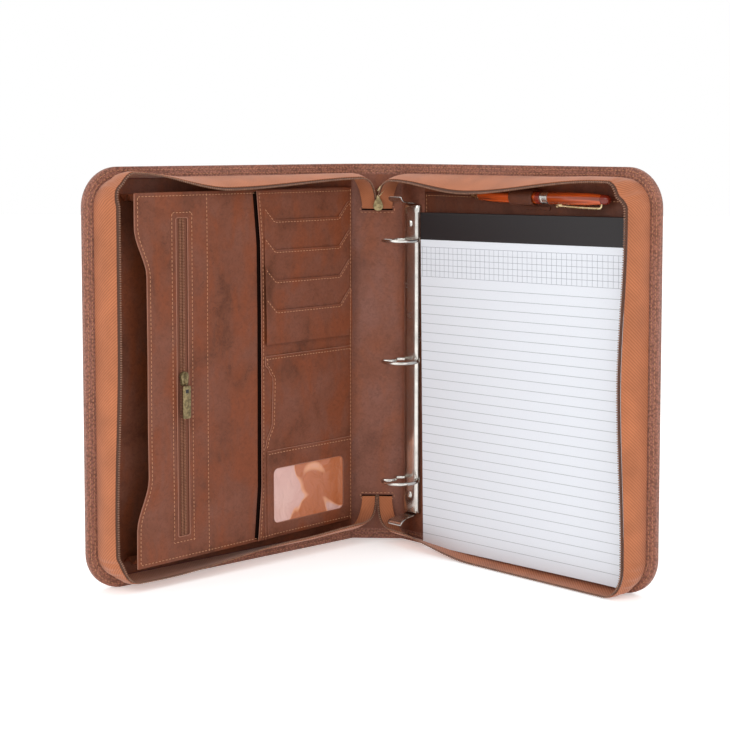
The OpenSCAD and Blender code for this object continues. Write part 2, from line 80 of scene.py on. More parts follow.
def reach(node, origin, direction):
    """The lowest and highest distance of a node's points from origin along direction."""
    along = [(v.co - origin).dot(direction) for v in frame["nodes"][node].data.vertices]
    return min(along), max(along)


CASE_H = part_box("back_outer_cover")[1].z
COVER_W = reach("back_outer_cover", BACK_HINGE, OUT)[1]
COVER_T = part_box("spine_outer_cover")[1].y * 2
INNER_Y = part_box("spine_lining")[0].y
CREASE_R = INNER_Y - BACK_HINGE.y
BACK_FACE = BACK_HINGE - IN * CREASE_R
SPINE_HALF = BACK_HINGE.x
RIM_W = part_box("spine_lining")[0].z - 0.2 * MM
GUSSET_H = reach("back_zip_teeth", BACK_FACE, IN)[1]
CORNER_R = 32 * MM
SLIT_Z = {"top": 301 * MM, "foot": 39.6 * MM}

LEAF_PIVOT = Vector(JOINTS["pocket_leaf_hinge"]["pos_m"])
SWING = Vector(JOINTS["pocket_zip_pull_swing"]["axis"])
LEAF_OUT = Vector((SWING.x, SWING.y, 0.0)) if SWING.x < 0 else Vector((-SWING.x, -SWING.y, 0.0))
LEAF_FACE = Vector((-LEAF_OUT.y, LEAF_OUT.x, 0.0))
LEAF_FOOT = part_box("document_pocket_leaf")[0].z
LEAF_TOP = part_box("document_pocket_leaf")[1].z
LEAF_W = reach("document_pocket_leaf", LEAF_PIVOT, LEAF_OUT)[1]
ZIP_V = sum(reach("pocket_zip_teeth", LEAF_PIVOT, LEAF_OUT)) / 2
ZIP_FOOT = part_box("pocket_zip_tape")[0].z - 1 * MM
ZIP_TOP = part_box("pocket_zip_tape")[1].z + 1 * MM
ZIP_GAP = 12 * MM
CARD_W = 109 * MM
CARD_EDGE = 2.5 * MM

RING_X = sum(reach("plate_posts", BACK_FACE, OUT)) / 2
PLATE_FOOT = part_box("ring_plate")[0].z
PLATE_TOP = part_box("ring_plate")[1].z
RING_MIDDLE_Z = (PLATE_FOOT + PLATE_TOP) / 2
RING_PITCH = 108 * MM
RING_TOP_H = reach("left_ring_halves", BACK_FACE, IN)[1]
PAD_X = reach("pad_paper", BACK_FACE, OUT)
PAD_H = reach("pad_paper", BACK_FACE, IN)
PAD_MIDDLE = (sum(PAD_X) / 2, (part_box("pad_paper")[0].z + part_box("pad_paper")[1].z) / 2)
PAD_SIZE = (215.9 * MM, 296.4 * MM)
PAD_STRIP = 23.5 * MM
PAD_TURN = math.radians(0.8)
PEN_H = sum(reach("pen_upper_barrel", BACK_FACE, IN)) / 2
PEN_Z = (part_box("pen_upper_barrel")[0].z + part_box("pen_upper_barrel")[1].z) / 2
PEN_R = (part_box("pen_upper_barrel")[1].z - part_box("pen_upper_barrel")[0].z) / 2


def cover_point(side, s, h, z):
    """A point of a cover: s out from its crease, h inwards from its face, z up.

    A negative s runs back round the crease towards the spine. side is 1 for the back cover and
    -1 for the front one.
    """
    if s >= 0:
        flat = BACK_FACE + OUT * s + IN * h
    else:
        turn = -s / CREASE_R - COVER_ANGLE
        radius = CREASE_R - h
        flat = BACK_HINGE + Vector((math.sin(-turn), math.cos(turn), 0.0)) * radius
    return Vector((side * flat.x, flat.y, z))


def leaf_point(v, w, z):
    """A point of the document pocket's leaf: v along it, w out of its face, z up."""
    flat = LEAF_PIVOT + LEAF_OUT * v + LEAF_FACE * w
    return Vector((flat.x, flat.y, z))


CREASE_S = -CREASE_R * COVER_ANGLE

# ---- Colours and sizes that a user would change ---------------------------------------------


def linear(hex_colour):
    """A hex sRGB colour as linear RGB."""
    channels = [int(hex_colour[i : i + 2], 16) / 255 for i in (0, 2, 4)]
    return [c / 12.92 if c <= 0.04045 else ((c + 0.055) / 1.055) ** 2.4 for c in channels]


def colour_property(name, description, hex_colour):
    return bpy.props.FloatVectorProperty(
        name=name,
        description=description,
        subtype="COLOR",
        size=3,
        min=0.0,
        max=1.0,
        default=linear(hex_colour),
    )


def length_property(name, description, default):
    return bpy.props.FloatProperty(
        name=name, description=description, default=default, min=0.0, unit="LENGTH", precision=5
    )


class CaseColours(bpy.types.PropertyGroup):
    """Colours of the case's leathers, cloths and metals"""

    leather: colour_property("Leather", "Oiled leather of the panels", "713F2B")
    leather_dark: colour_property("Leather shadow", "Darker waxed patches of the panels", "502812")
    rim: colour_property("Rim", "Pebbled leather of the rim and outside", "986655")
    rim_dark: colour_property("Rim shadow", "Hollows of the pebbled leather", "6A4236")
    lining: colour_property("Spine lining", "Smooth leather inside the spine", "7A4A39")
    lining_dark: colour_property("Spine lining shadow", "Creases of the smooth leather", "5F3628")
    gusset: colour_property("Gusset", "Twill of the gussets", "B56E49")
    gusset_dark: colour_property("Gusset shadow", "Ground threads of the twill", "9C5B39")
    thread: colour_property("Thread", "Sewing thread", "B57E5A")
    brass: colour_property("Antique brass", "Zip sliders and pulls", "A08F6A")
    nickel: colour_property("Nickel", "Ring mechanism", "D9D6D0")
    paper: colour_property("Paper", "Pages of the pad", "DEE2E9")
    wood: colour_property("Pen wood", "Rosewood of the pen", "96390C")


class CaseSizes(bpy.types.PropertyGroup):
    """Sizes of the details that repeat"""

    stitch_pitch: length_property("Stitch pitch", "Distance between stitches", 0.0034)
    stitch_length: length_property("Stitch length", "Length of one stitch", 0.0024)
    thread_width: length_property("Thread width", "Diameter of the sewing thread", 0.0007)
    tooth_pitch: length_property("Tooth pitch", "Distance between zip teeth", 0.0019)
    rule_pitch: length_property("Rule pitch", "Distance between the pad's lines", 0.0082)


# ---- Meshes ---------------------------------------------------------------------------------


def new_piece(name, mesh):
    piece = bpy.data.objects.new(name, mesh)
    bpy.context.scene.collection.objects.link(piece)
    return piece


def smooth(mesh, angle=40):
    mesh.polygons.foreach_set("use_smooth", [True] * len(mesh.polygons))
    mesh.set_sharp_from_angle(angle=math.radians(angle))


def mesh_from(name, vertices, faces):
    mesh = bpy.data.meshes.new(name)
    mesh.from_pydata([tuple(v) for v in vertices], [], faces)
    mesh.update()
    return mesh


def baked(piece):
    """Turns a piece's modifiers into plain mesh."""
    graph = bpy.context.evaluated_depsgraph_get()
    mesh = bpy.data.meshes.new_from_object(piece.evaluated_get(graph))
    piece.modifiers.clear()
    if piece.type != "MESH":
        name = piece.name
        bpy.data.objects.remove(piece)
        piece = new_piece(name, mesh)
    piece.data = mesh
    return piece


def closed_outwards(mesh):
    """Merges doubles and points a closed mesh's faces outwards."""
    work = bmesh.new()
    work.from_mesh(mesh)
    bmesh.ops.remove_doubles(work, verts=work.verts, dist=1e-6)
    bmesh.ops.recalc_face_normals(work, faces=work.faces)
    work.to_mesh(mesh)
    work.free()


def grid(name, rows, columns, point, uv_size=None, hole=None):
    """A sheet through point(u, v) for each u of columns and v of rows.

    A number of rows or columns spreads them from 0 to 1. hole leaves out u0, u1, v0, v1.
    """
    us = np.linspace(0, 1, columns) if np.isscalar(columns) else np.asarray(columns)
    vs = np.linspace(0, 1, rows) if np.isscalar(rows) else np.asarray(rows)
    vertices = [point(float(u), float(v)) for v in vs for u in us]
    n = len(us)
    faces = [
        (j * n + i, j * n + i + 1, (j + 1) * n + i + 1, (j + 1) * n + i)
        for j in range(len(vs) - 1)
        for i in range(n - 1)
        if not (
            hole
            and hole[0] < (us[i] + us[i + 1]) / 2 < hole[1]
            and hole[2] < (vs[j] + vs[j + 1]) / 2 < hole[3]
        )
    ]
    mesh = mesh_from(name, vertices, faces)
    if uv_size:
        layer = mesh.uv_layers.new(name="cloth")
        corners = [(us[i % n] * uv_size[0], vs[i // n] * uv_size[1]) for i in range(len(vertices))]
        for loop in mesh.loops:
            layer.data[loop.index].uv = corners[loop.vertex_index]
    return mesh


def sheet(name, rows, columns, point, thickness, round_edge=0.0, uv_size=None, offset=-1.0,
          hole=None):
    """A sheet of leather or cloth with a real thickness and soft edges."""
    piece = new_piece(name, grid(name, rows, columns, point, uv_size, hole))
    wall = piece.modifiers.new("wall", "SOLIDIFY")
    wall.thickness = thickness
    wall.offset = offset
    wall.use_even_offset = False
    if round_edge:
        edge = piece.modifiers.new("edge", "BEVEL")
        edge.width = round_edge
        edge.segments = 2
        edge.limit_method = "ANGLE"
        edge.angle_limit = math.radians(50)
    piece = baked(piece)
    closed_outwards(piece.data)
    smooth(piece.data, 50)
    return piece


def curve_through(name, paths):
    """A curve that runs through each list of points."""
    curve = bpy.data.curves.new(name, "CURVE")
    curve.dimensions = "3D"
    for path in paths:
        spline = curve.splines.new("POLY")
        spline.points.add(len(path) - 1)
        for slot, p in zip(spline.points, path):
            slot.co = (*p, 1.0)
    return curve


def tube(name, paths, radius, sides=10):
    """Round wires along lists of points, with closed ends."""
    curve = curve_through(name, paths)
    curve.bevel_depth = radius
    curve.bevel_resolution = max(1, sides // 4)
    curve.use_fill_caps = True
    piece = baked(new_piece(name, curve))
    closed_outwards(piece.data)
    smooth(piece.data, 60)
    return piece


def prism(name, outline, place, low, high, edge=0.0, segments=2):
    """A flat outline given a thickness, with round edges. place maps (a, b, height) to a point."""
    count = len(outline)
    vertices = [place(a, b, low) for a, b in outline] + [place(a, b, high) for a, b in outline]
    faces = [tuple(range(count))[::-1], tuple(range(count, 2 * count))]
    faces += [(i, (i + 1) % count, count + (i + 1) % count, count + i) for i in range(count)]
    piece = new_piece(name, mesh_from(name, vertices, faces))
    closed_outwards(piece.data)
    if edge:
        bevel = piece.modifiers.new("edge", "BEVEL")
        bevel.width = edge
        bevel.segments = segments
        bevel.limit_method = "ANGLE"
        bevel.angle_limit = math.radians(35)
        piece = baked(piece)
    smooth(piece.data, 35)
    return piece


def lathe(name, profile, place, turns=40):
    """A turned piece. profile is a list of (distance along the axis, radius)."""
    vertices = []
    for along, radius in profile:
        for i in range(turns):
            a = 2 * math.pi * i / turns
            vertices.append(place(along, radius * math.cos(a), radius * math.sin(a)))
    faces = [
        (j * turns + i, j * turns + (i + 1) % turns, (j + 1) * turns + (i + 1) % turns,
         (j + 1) * turns + i)
        for j in range(len(profile) - 1)
        for i in range(turns)
    ]
    last = (len(profile) - 1) * turns
    faces += [tuple(range(turns))[::-1], tuple(range(last, last + turns))]
    piece = new_piece(name, mesh_from(name, vertices, faces))
    closed_outwards(piece.data)
    smooth(piece.data, 35)
    return piece


def joined(name, pieces):
    """Several pieces as one object."""
    work = bmesh.new()
    for piece in pieces:
        work.from_mesh(piece.data)
        bpy.data.objects.remove(piece)
    mesh = bpy.data.meshes.new(name)
    work.to_mesh(mesh)
    work.free()
    smooth(mesh, 40)
    return new_piece(name, mesh)


def arc(centre, radius, start, stop, steps):
    """Points of an arc in a plane, from angle start to angle stop in degrees."""
    turns = [math.radians(start + (stop - start) * i / steps) for i in range(steps + 1)]
    return [(centre[0] + radius * math.cos(t), centre[1] + radius * math.sin(t)) for t in turns]


def rounded(x0, x1, z0, z1, radius, steps=6):
    """A rectangle with round corners, counter-clockwise."""
    return (
        arc((x1 - radius, z0 + radius), radius, -90, 0, steps)
        + arc((x1 - radius, z1 - radius), radius, 0, 90, steps)
        + arc((x0 + radius, z1 - radius), radius, 90, 180, steps)
        + arc((x0 + radius, z0 + radius), radius, 180, 270, steps)
    )


def wave(p, size, seed):
    """Smooth noise from -1 to 1 at point p, whose lumps are about size across."""
    return noise.noise(Vector(p) / size + Vector((seed * 7.3, seed * 3.1, seed * 5.7)))


# ---- Geometry Nodes -------------------------------------------------------------------------


def add_node(tree, kind, settings=None, links=None):
    """Adds a node, sets its properties and inputs, and links its inputs."""
    node = tree.nodes.new(kind)
    for key, value in (settings or {}).items():
        if isinstance(key, str) and hasattr(node, key):
            setattr(node, key, value)
        else:
            node.inputs[key].default_value = value
    for key, source in (links or {}).items():
        tree.links.new(source, node.inputs[key])
    return node


def row_tree(name, teeth):
    """A tree that sets stitches along its curves or, where teeth is true, zip teeth across them."""
    tree = bpy.data.node_groups.new(name, "GeometryNodeTree")
    face = tree.interface
    face.new_socket("Geometry", in_out="INPUT", socket_type="NodeSocketGeometry")
    face.new_socket("Pitch", in_out="INPUT", socket_type="NodeSocketFloat")
    face.new_socket("Size", in_out="INPUT", socket_type="NodeSocketVector")
    face.new_socket("Across", in_out="INPUT", socket_type="NodeSocketVector")
    face.new_socket("Material", in_out="INPUT", socket_type="NodeSocketMaterial")
    face.new_socket("Geometry", in_out="OUTPUT", socket_type="NodeSocketGeometry")
    given = add_node(tree, "NodeGroupInput")
    points = add_node(
        tree,
        "GeometryNodeCurveToPoints",
        {"mode": "LENGTH"},
        {"Curve": given.outputs["Geometry"], "Length": given.outputs["Pitch"]},
    )
    turn = add_node(
        tree,
        "FunctionNodeAlignRotationToVector",
        {"axis": "Z"},
        {"Vector": points.outputs["Tangent"]},
    )
    if teeth:
        turn = add_node(
            tree,
            "FunctionNodeAlignRotationToVector",
            {"axis": "X", "pivot_axis": "Z"},
            {"Rotation": turn.outputs["Rotation"], "Vector": given.outputs["Across"]},
        )
    bead = add_node(tree, "GeometryNodeMeshUVSphere", {"Segments": 6, "Rings": 4, "Radius": 0.5})
    placed = add_node(
        tree,
        "GeometryNodeInstanceOnPoints",
        {},
        {
            "Points": points.outputs["Points"],
            "Instance": bead.outputs["Mesh"],
            "Rotation": turn.outputs["Rotation"],
            "Scale": given.outputs["Size"],
        },
    )
    real = add_node(
        tree, "GeometryNodeRealizeInstances", {}, {"Geometry": placed.outputs["Instances"]}
    )
    painted = add_node(
        tree,
        "GeometryNodeSetMaterial",
        {},
        {"Geometry": real.outputs["Geometry"], "Material": given.outputs["Material"]},
    )
    add_node(tree, "NodeGroupOutput", {}, {"Geometry": painted.outputs["Geometry"]})
    return tree


def row_piece(name, tree, paths, pitch, size, material, across=(0, 0, 1)):
    """Stitches or teeth along lists of points, as one plain mesh."""
    piece = new_piece(name, curve_through(name, paths))
    rows = piece.modifiers.new("rows", "NODES")
    rows.node_group = tree
    values = {"Pitch": pitch, "Size": size, "Across": across, "Material": material}
    for socket in tree.interface.items_tree:
        if socket.in_out == "INPUT" and socket.name in values:
            rows[socket.identifier] = values[socket.name]
    piece = baked(piece)
    smooth(piece.data, 60)
    return piece


# ---- Materials ------------------------------------------------------------------------------


def principled(name, settings):
    """A new material, its tree and its Principled shader with settings on its own sockets."""
    material = bpy.data.materials.new(name)
    material.use_nodes = True
    tree = material.node_tree
    shader = tree.nodes["Principled BSDF"]
    for key, value in settings.items():
        shader.inputs[key].default_value = value
    return material, tree, shader


def rgba(colour):
    return (*colour, 1.0)


def ramp(tree, source, stops):
    node = add_node(tree, "ShaderNodeValToRGB", {}, {"Fac": source})
    elements = node.color_ramp.elements
    while len(elements) < len(stops):
        elements.new(0.5)
    for element, (place, colour) in zip(elements, stops):
        element.position = place
        element.color = rgba(colour) if len(colour) == 3 else colour
    return node.outputs["Color"]


def grey(value):
    return (value, value, value)


def leather_material(name, light, dark, grain_mm, grain_depth, roughness, mottling_mm=38,
                     spread=0.5, pebble=0.0):
    """Full-grain cowhide, drum dyed and waxed: cloudy brown with fine pores and pull-up marks."""
    material, tree, shader = principled(name, {"IOR": 1.48, "Specular IOR Level": 0.3})
    place = add_node(tree, "ShaderNodeTexCoord").outputs["Object"]
    clouds = add_node(
        tree, "ShaderNodeTexNoise",
        {"Scale": 1000 / mottling_mm, "Detail": 6.0, "Roughness": 0.6, "Distortion": 0.4},
        {"Vector": place},
    )
    tall = add_node(tree, "ShaderNodeMapping", {"Scale": (1.0, 1.0, 0.45)}, {"Vector": place})
    rust = add_node(
        tree, "ShaderNodeTexNoise",
        {"Scale": 1000 / (mottling_mm * 0.6), "Detail": 3.0, "Roughness": 0.6, "Distortion": 0.6},
        {"Vector": tall.outputs["Vector"]},
    )
    specks = add_node(
        tree, "ShaderNodeTexNoise",
        {"Scale": 1000 / 3.2, "Detail": 4.0, "Roughness": 0.7, "Distortion": 1.2},
        {"Vector": place},
    )
    deep = [a + (b - a) * spread for a, b in zip(light, dark)]
    bloom = min(spread, 0.5)
    pale = [light[0] * (1 + 0.2 * bloom), light[1] * (1 + 0.44 * bloom), light[2] * (1 + 0.8 * bloom)]
    warm = [light[0] * 1.18, light[1] * 0.96, light[2] * 0.66]
    base = ramp(tree, clouds.outputs["Fac"], [(0.32, deep), (0.48, light), (0.66, pale)])
    patches = ramp(tree, rust.outputs["Fac"], [(0.46, grey(0.0)), (0.64, grey(1.3 * spread))])
    rusty = add_node(
        tree, "ShaderNodeMix", {"data_type": "RGBA", 7: rgba(warm)}, {0: patches, 6: base}
    )
    marks = ramp(
        tree, specks.outputs["Fac"], [(0.34, grey(0.7)), (0.52, grey(1.0)), (0.72, grey(1.16))]
    )
    mixed = add_node(
        tree, "ShaderNodeMix", {"data_type": "RGBA", "blend_type": "MULTIPLY", 0: 0.75},
        {6: rusty.outputs[2], 7: marks},
    )
    surface = mixed.outputs[2]
    if pebble:
        pits = add_node(
            tree, "ShaderNodeTexVoronoi", {"feature": "F1", "Scale": 1000 / grain_mm}, {"Vector": place}
        )
        tops = ramp(tree, pits.outputs["Distance"], [(0.1, grey(1.3)), (0.75, grey(1 - pebble))])
        surface = add_node(
            tree, "ShaderNodeMix", {"data_type": "RGBA", "blend_type": "MULTIPLY", 0: 1.0},
            {6: surface, 7: tops},
        ).outputs[2]
    tree.links.new(surface, shader.inputs["Base Color"])
    dull, waxed = grey(roughness + 0.1), grey(roughness - 0.06)
    sheen = ramp(tree, clouds.outputs["Fac"], [(0.3, dull), (0.7, waxed)])
    tree.links.new(sheen, shader.inputs["Roughness"])
    pores = add_node(
        tree, "ShaderNodeTexVoronoi",
        {"feature": "DISTANCE_TO_EDGE", "Scale": 1000 / grain_mm}, {"Vector": place},
    )
    grain = ramp(tree, pores.outputs["Distance"], [(0.0, grey(0.0)), (0.22, grey(1.0))])
    wrinkle = add_node(
        tree, "ShaderNodeTexNoise", {"Scale": 1000 / 14.0, "Detail": 4.0, "Roughness": 0.6},
        {"Vector": place},
    )
    folds = add_node(
        tree, "ShaderNodeBump", {"Strength": 0.3, "Distance": 0.0008},
        {"Height": wrinkle.outputs["Fac"]},
    )
    bump = add_node(
        tree, "ShaderNodeBump", {"Strength": 0.5, "Distance": grain_depth * MM},
        {"Height": grain, "Normal": folds.outputs["Normal"]},
    )
    tree.links.new(bump.outputs["Normal"], shader.inputs["Normal"])
    return material


def twill_material(name, light, dark, rib_mm):
    """Spun polyester twill: diagonal ribs drawn wide enough to show, with a soft dry surface."""
    material, tree, shader = principled(
        name, {"Roughness": 0.86, "IOR": 1.5, "Specular IOR Level": 0.25,
               "Sheen Weight": 0.25, "Sheen Roughness": 0.5},
    )
    uv = add_node(tree, "ShaderNodeUVMap", {"uv_map": "cloth"}).outputs["UV"]
    ribs = add_node(
        tree, "ShaderNodeTexWave",
        {"bands_direction": "DIAGONAL", "Scale": 100 * math.pi * math.sqrt(2) / rib_mm,
         "Distortion": 0.6, "Detail": 2.0, "Detail Scale": 2.0},
        {"Vector": uv},
    )
    place = add_node(tree, "ShaderNodeTexCoord").outputs["Object"]
    clouds = add_node(tree, "ShaderNodeTexNoise", {"Scale": 45.0, "Detail": 4.0}, {"Vector": place})
    threads = ramp(tree, ribs.outputs["Fac"], [(0.1, dark), (0.7, light)])
    shade = ramp(tree, clouds.outputs["Fac"], [(0.3, grey(0.84)), (0.7, grey(1.08))])
    mixed = add_node(
        tree, "ShaderNodeMix", {"data_type": "RGBA", "blend_type": "MULTIPLY", 0: 1.0},
        {6: threads, 7: shade},
    )
    tree.links.new(mixed.outputs[2], shader.inputs["Base Color"])
    bump = add_node(
        tree, "ShaderNodeBump", {"Strength": 0.45, "Distance": 0.0003}, {"Height": ribs.outputs["Fac"]}
    )
    tree.links.new(bump.outputs["Normal"], shader.inputs["Normal"])
    return material


def plain_material(name, colour, roughness, noise_mm=1.0, depth_mm=0.05, spread=0.12, **settings):
    """A moulded, woven or printed surface: fine mottling over one colour, with a faint relief."""
    material, tree, shader = principled(name, {"Roughness": roughness, **settings})
    place = add_node(tree, "ShaderNodeTexCoord").outputs["Object"]
    fine = add_node(
        tree, "ShaderNodeTexNoise", {"Scale": 1000 / noise_mm, "Detail": 3.0}, {"Vector": place}
    )
    low = [c * (1 - spread) for c in colour]
    high = [min(1.0, c * (1 + spread)) for c in colour]
    tree.links.new(
        ramp(tree, fine.outputs["Fac"], [(0.3, low), (0.7, high)]), shader.inputs["Base Color"]
    )
    bump = add_node(
        tree, "ShaderNodeBump", {"Strength": 0.4, "Distance": depth_mm * MM},
        {"Height": fine.outputs["Fac"]},
    )
    tree.links.new(bump.outputs["Normal"], shader.inputs["Normal"])
    return material


def metal_material(name, colour, tarnish, roughness, wear_mm):
    """Plated metal: polished nickel or brass, with faint tarnish and handling marks."""
    material, tree, shader = principled(name, {"Metallic": 1.0, "Roughness": roughness})
    place = add_node(tree, "ShaderNodeTexCoord").outputs["Object"]
    wear = add_node(
        tree, "ShaderNodeTexNoise", {"Scale": 1000 / wear_mm, "Detail": 5.0, "Roughness": 0.6},
        {"Vector": place},
    )
    tree.links.new(
        ramp(tree, wear.outputs["Fac"], [(0.35, tarnish), (0.62, colour)]), shader.inputs["Base Color"]
    )
    tree.links.new(
        ramp(tree, wear.outputs["Fac"], [(0.3, grey(roughness + 0.14)), (0.7, grey(roughness))]),
        shader.inputs["Roughness"],
    )
    return material


def rosewood_material(name, colour):
    """Turned rosewood under clear lacquer: dark streaks along the grain and a high polish."""
    material, tree, shader = principled(
        name, {"Roughness": 0.25, "Coat Weight": 0.6, "Coat Roughness": 0.08}
    )
    place = add_node(tree, "ShaderNodeTexCoord").outputs["Object"]
    turned = add_node(
        tree, "ShaderNodeMapping", {"Rotation": (0, 0, COVER_ANGLE)}, {"Vector": place}
    )
    along = add_node(
        tree, "ShaderNodeMapping", {"Scale": (22.0, 330.0, 330.0)}, {"Vector": turned.outputs["Vector"]}
    )
    grain = add_node(
        tree, "ShaderNodeTexNoise", {"Scale": 1.0, "Detail": 4.0, "Roughness": 0.55, "Distortion": 0.4},
        {"Vector": along.outputs["Vector"]},
    )
    dark = [c * 0.32 for c in colour]
    bright = [min(1.0, c * 1.9) for c in colour]
    tree.links.new(
        ramp(tree, grain.outputs["Fac"], [(0.3, dark), (0.48, colour), (0.68, bright)]),
        shader.inputs["Base Color"],
    )
    return material


def vinyl_material(name):
    """Clear vinyl over tan card: amber where it clings to the card, with pinkish-white patches painted
    in as reflections off its creases.
    """
    material, tree, shader = principled(
        name, {"Roughness": 0.14, "IOR": 1.5, "Coat Weight": 0.7, "Coat Roughness": 0.05}
    )
    place = add_node(tree, "ShaderNodeTexCoord").outputs["Object"]
    reflection_noise = add_node(
        tree, "ShaderNodeTexNoise", {"Scale": 15.0, "Detail": 2.2, "Roughness": 0.45, "Distortion": 0.7},
        {"Vector": place},
    )
    # Painted reflections: where the noise rises the colour turns pinkish-white, as if light were
    # mirrored off the crinkled film; below it the amber card shows.
    painted_reflections = ramp(
        tree, reflection_noise.outputs["Fac"],
        [(0.43, linear("B3663F")), (0.445, linear("D99872")), (0.46, linear("CFA197")),
         (0.7, linear("D9B2A8"))],
    )
    tree.links.new(painted_reflections, shader.inputs["Base Color"])
    ripple = add_node(
        tree, "ShaderNodeTexNoise", {"Scale": 70.0, "Detail": 2.0, "Distortion": 1.0}, {"Vector": place}
    )
    bump = add_node(
        tree, "ShaderNodeBump", {"Strength": 0.8, "Distance": 0.002}, {"Height": ripple.outputs["Fac"]}
    )
    tree.links.new(bump.outputs["Normal"], shader.inputs["Normal"])
    return material


MATERIALS = {}


def make_materials(colours):
    """Every finish of the case, named for what it is made of, and for the painted light or shade where a
    colour stands in for it.
    """
    c = colours
    MATERIALS.update(
        panel=leather_material("oiled_cowhide", c.leather, c.leather_dark, 0.9, 0.08, 0.5, 38, 0.7),
        rim=leather_material("pebbled_cowhide", c.rim, c.rim_dark, 1.7, 0.5, 0.5, 120, 0.15, 0.4),
        # Pad holder and pen loop: the panel leather at 0.62, partly a deeper brown leather and partly
        # painted shade, as the holder lies in shadow.
        holder=leather_material("deeper_cowhide_with_painted_shade", [x * 0.62 for x in c.leather],
                                [x * 0.62 for x in c.leather_dark], 0.9, 0.08, 0.45),
        lining=leather_material("smooth_cowhide", c.lining, c.lining_dark, 1.1, 0.06, 0.5, 60, 0.6),
        gusset=twill_material("polyester_twill", c.gusset, c.gusset_dark, 1.9),
        thread=plain_material("bonded_nylon_thread", c.thread, 0.6, 0.5, 0.02),
        seam=plain_material("bound_seam", linear("5E241C"), 0.7, 0.8, 0.05),
        # Cut edges drawn lighter than the panels: partly the edge's own tone, partly painted highlight
        # where the round edges catch light.
        edge=plain_material("leather_edge_with_painted_highlight", linear("94604A"), 0.5, 1.4, 0.03),
        tape=plain_material("woven_zip_tape", linear("4E3124"), 0.85, 0.6, 0.1),
        teeth=plain_material("acetal_zip_teeth", linear("87604A"), 0.42, 3.0, 0.02, 0.35),
        pocket_tape=plain_material("narrow_zip_tape", linear("6E3F2C"), 0.85, 0.6, 0.1),
        coil=plain_material("nylon_zip_coil", linear("9A6A50"), 0.42, 3.0, 0.02, 0.2),
        # Near-black cloth for the pocket bag behind the zip, dark as painted shade; also painted shade
        # in the spine's slits and painted shadow along the card panel's free edge.
        bag=plain_material("near_black_cloth_and_painted_shade", linear("140704"), 0.95, 0.8, 0.1, 0.12,
                           **{"Specular IOR Level": 0.05}),
        brass=metal_material("antique_brass", c.brass, [x * 0.4 for x in c.brass], 0.38, 2.5),
        gold=metal_material("champagne_plate", linear("D9C7A0"), linear("B39A6A"), 0.22, 4.0),
        nickel=metal_material("nickel_plate", c.nickel, [x * 0.8 for x in c.nickel], 0.14, 12.0),
        paper=plain_material("writing_paper", c.paper, 0.8, 0.7, 0.01, 0.02),
        ink=plain_material("printed_rule", linear("A7ADB2"), 0.8, 1.0, 0.01, 0.05),
        grid_ink=plain_material("printed_grid", linear("9A9EA8"), 0.8, 1.0, 0.01, 0.05),
        strip=plain_material("black_binding_tape", linear("1F1C1E"), 0.45, 0.7, 0.08, 0.15),
        card=plain_material("grey_board", linear("9C8460"), 0.85, 1.2, 0.05),
        wood=rosewood_material("rosewood", c.wood),
        red=plain_material("red_resin", linear("7A2414"), 0.22, 3.0, 0.01, 0.2),
        black=plain_material("black_resin_and_painted_shade", linear("1C1A1B"), 0.4, 3.0, 0.01, 0.2),
        film=vinyl_material("vinyl_with_painted_reflections"),
    )


def dress(piece, material, body, slot, *nodes):
    """Gives a piece its material and body, and hides the CAD nodes it stands for. Its slot is not used.
    """
    if material:
        piece.data.materials.clear()
        piece.data.materials.append(MATERIALS[material])
    if body:
        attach(piece, body)
    if nodes:
        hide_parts(*nodes)
    return piece


def repaint(node, material):
    """Gives a CAD node that stays in sight its own finish."""
    node.data.materials.clear()
    node.data.materials.append(MATERIALS[material])


def bend(piece, side, material, slot, *nodes, reach_out=0.014):
    """Dresses a piece that crosses a cover's hinge."""
    dress(piece, material, None, slot, *nodes)
    cover_point(side, reach_out, 0.0, 0.0)
    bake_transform(piece)
    return piece


# ---- Stage ----------------------------------------------------------------------------------


def make_camera():
    """The camera: eye height, looking slightly down and to the left, with an upright shift."""
    lens = bpy.data.cameras.new("camera")
    lens.lens = 76.32
    lens.sensor_width = 36.0
    lens.shift_y = -0.1575
    lens.clip_end = 30.0
    camera = bpy.data.objects.new("camera", lens)
    camera.location = (0.0460, -1.3952, 0.3633)
    yaw, pitch = -0.041, 0.071
    ahead = Vector(
        (math.sin(yaw) * math.cos(pitch), math.cos(yaw) * math.cos(pitch), -math.sin(pitch))
    )
    camera.rotation_euler = ahead.to_track_quat("-Z", "Y").to_euler()
    bpy.context.scene.collection.objects.link(camera)
    bpy.context.scene.camera = camera


def area_light(name, place, target, size, power, tint=(1.0, 1.0, 1.0)):
    data = bpy.data.lights.new(name, "AREA")
    data.shape = "RECTANGLE"
    data.size, data.size_y = size
    data.energy = power
    data.color = tint
    light = bpy.data.objects.new(name, data)
    light.location = place
    light.rotation_euler = (Vector(target) - Vector(place)).to_track_quat("-Z", "Y").to_euler()
    bpy.context.scene.collection.objects.link(light)


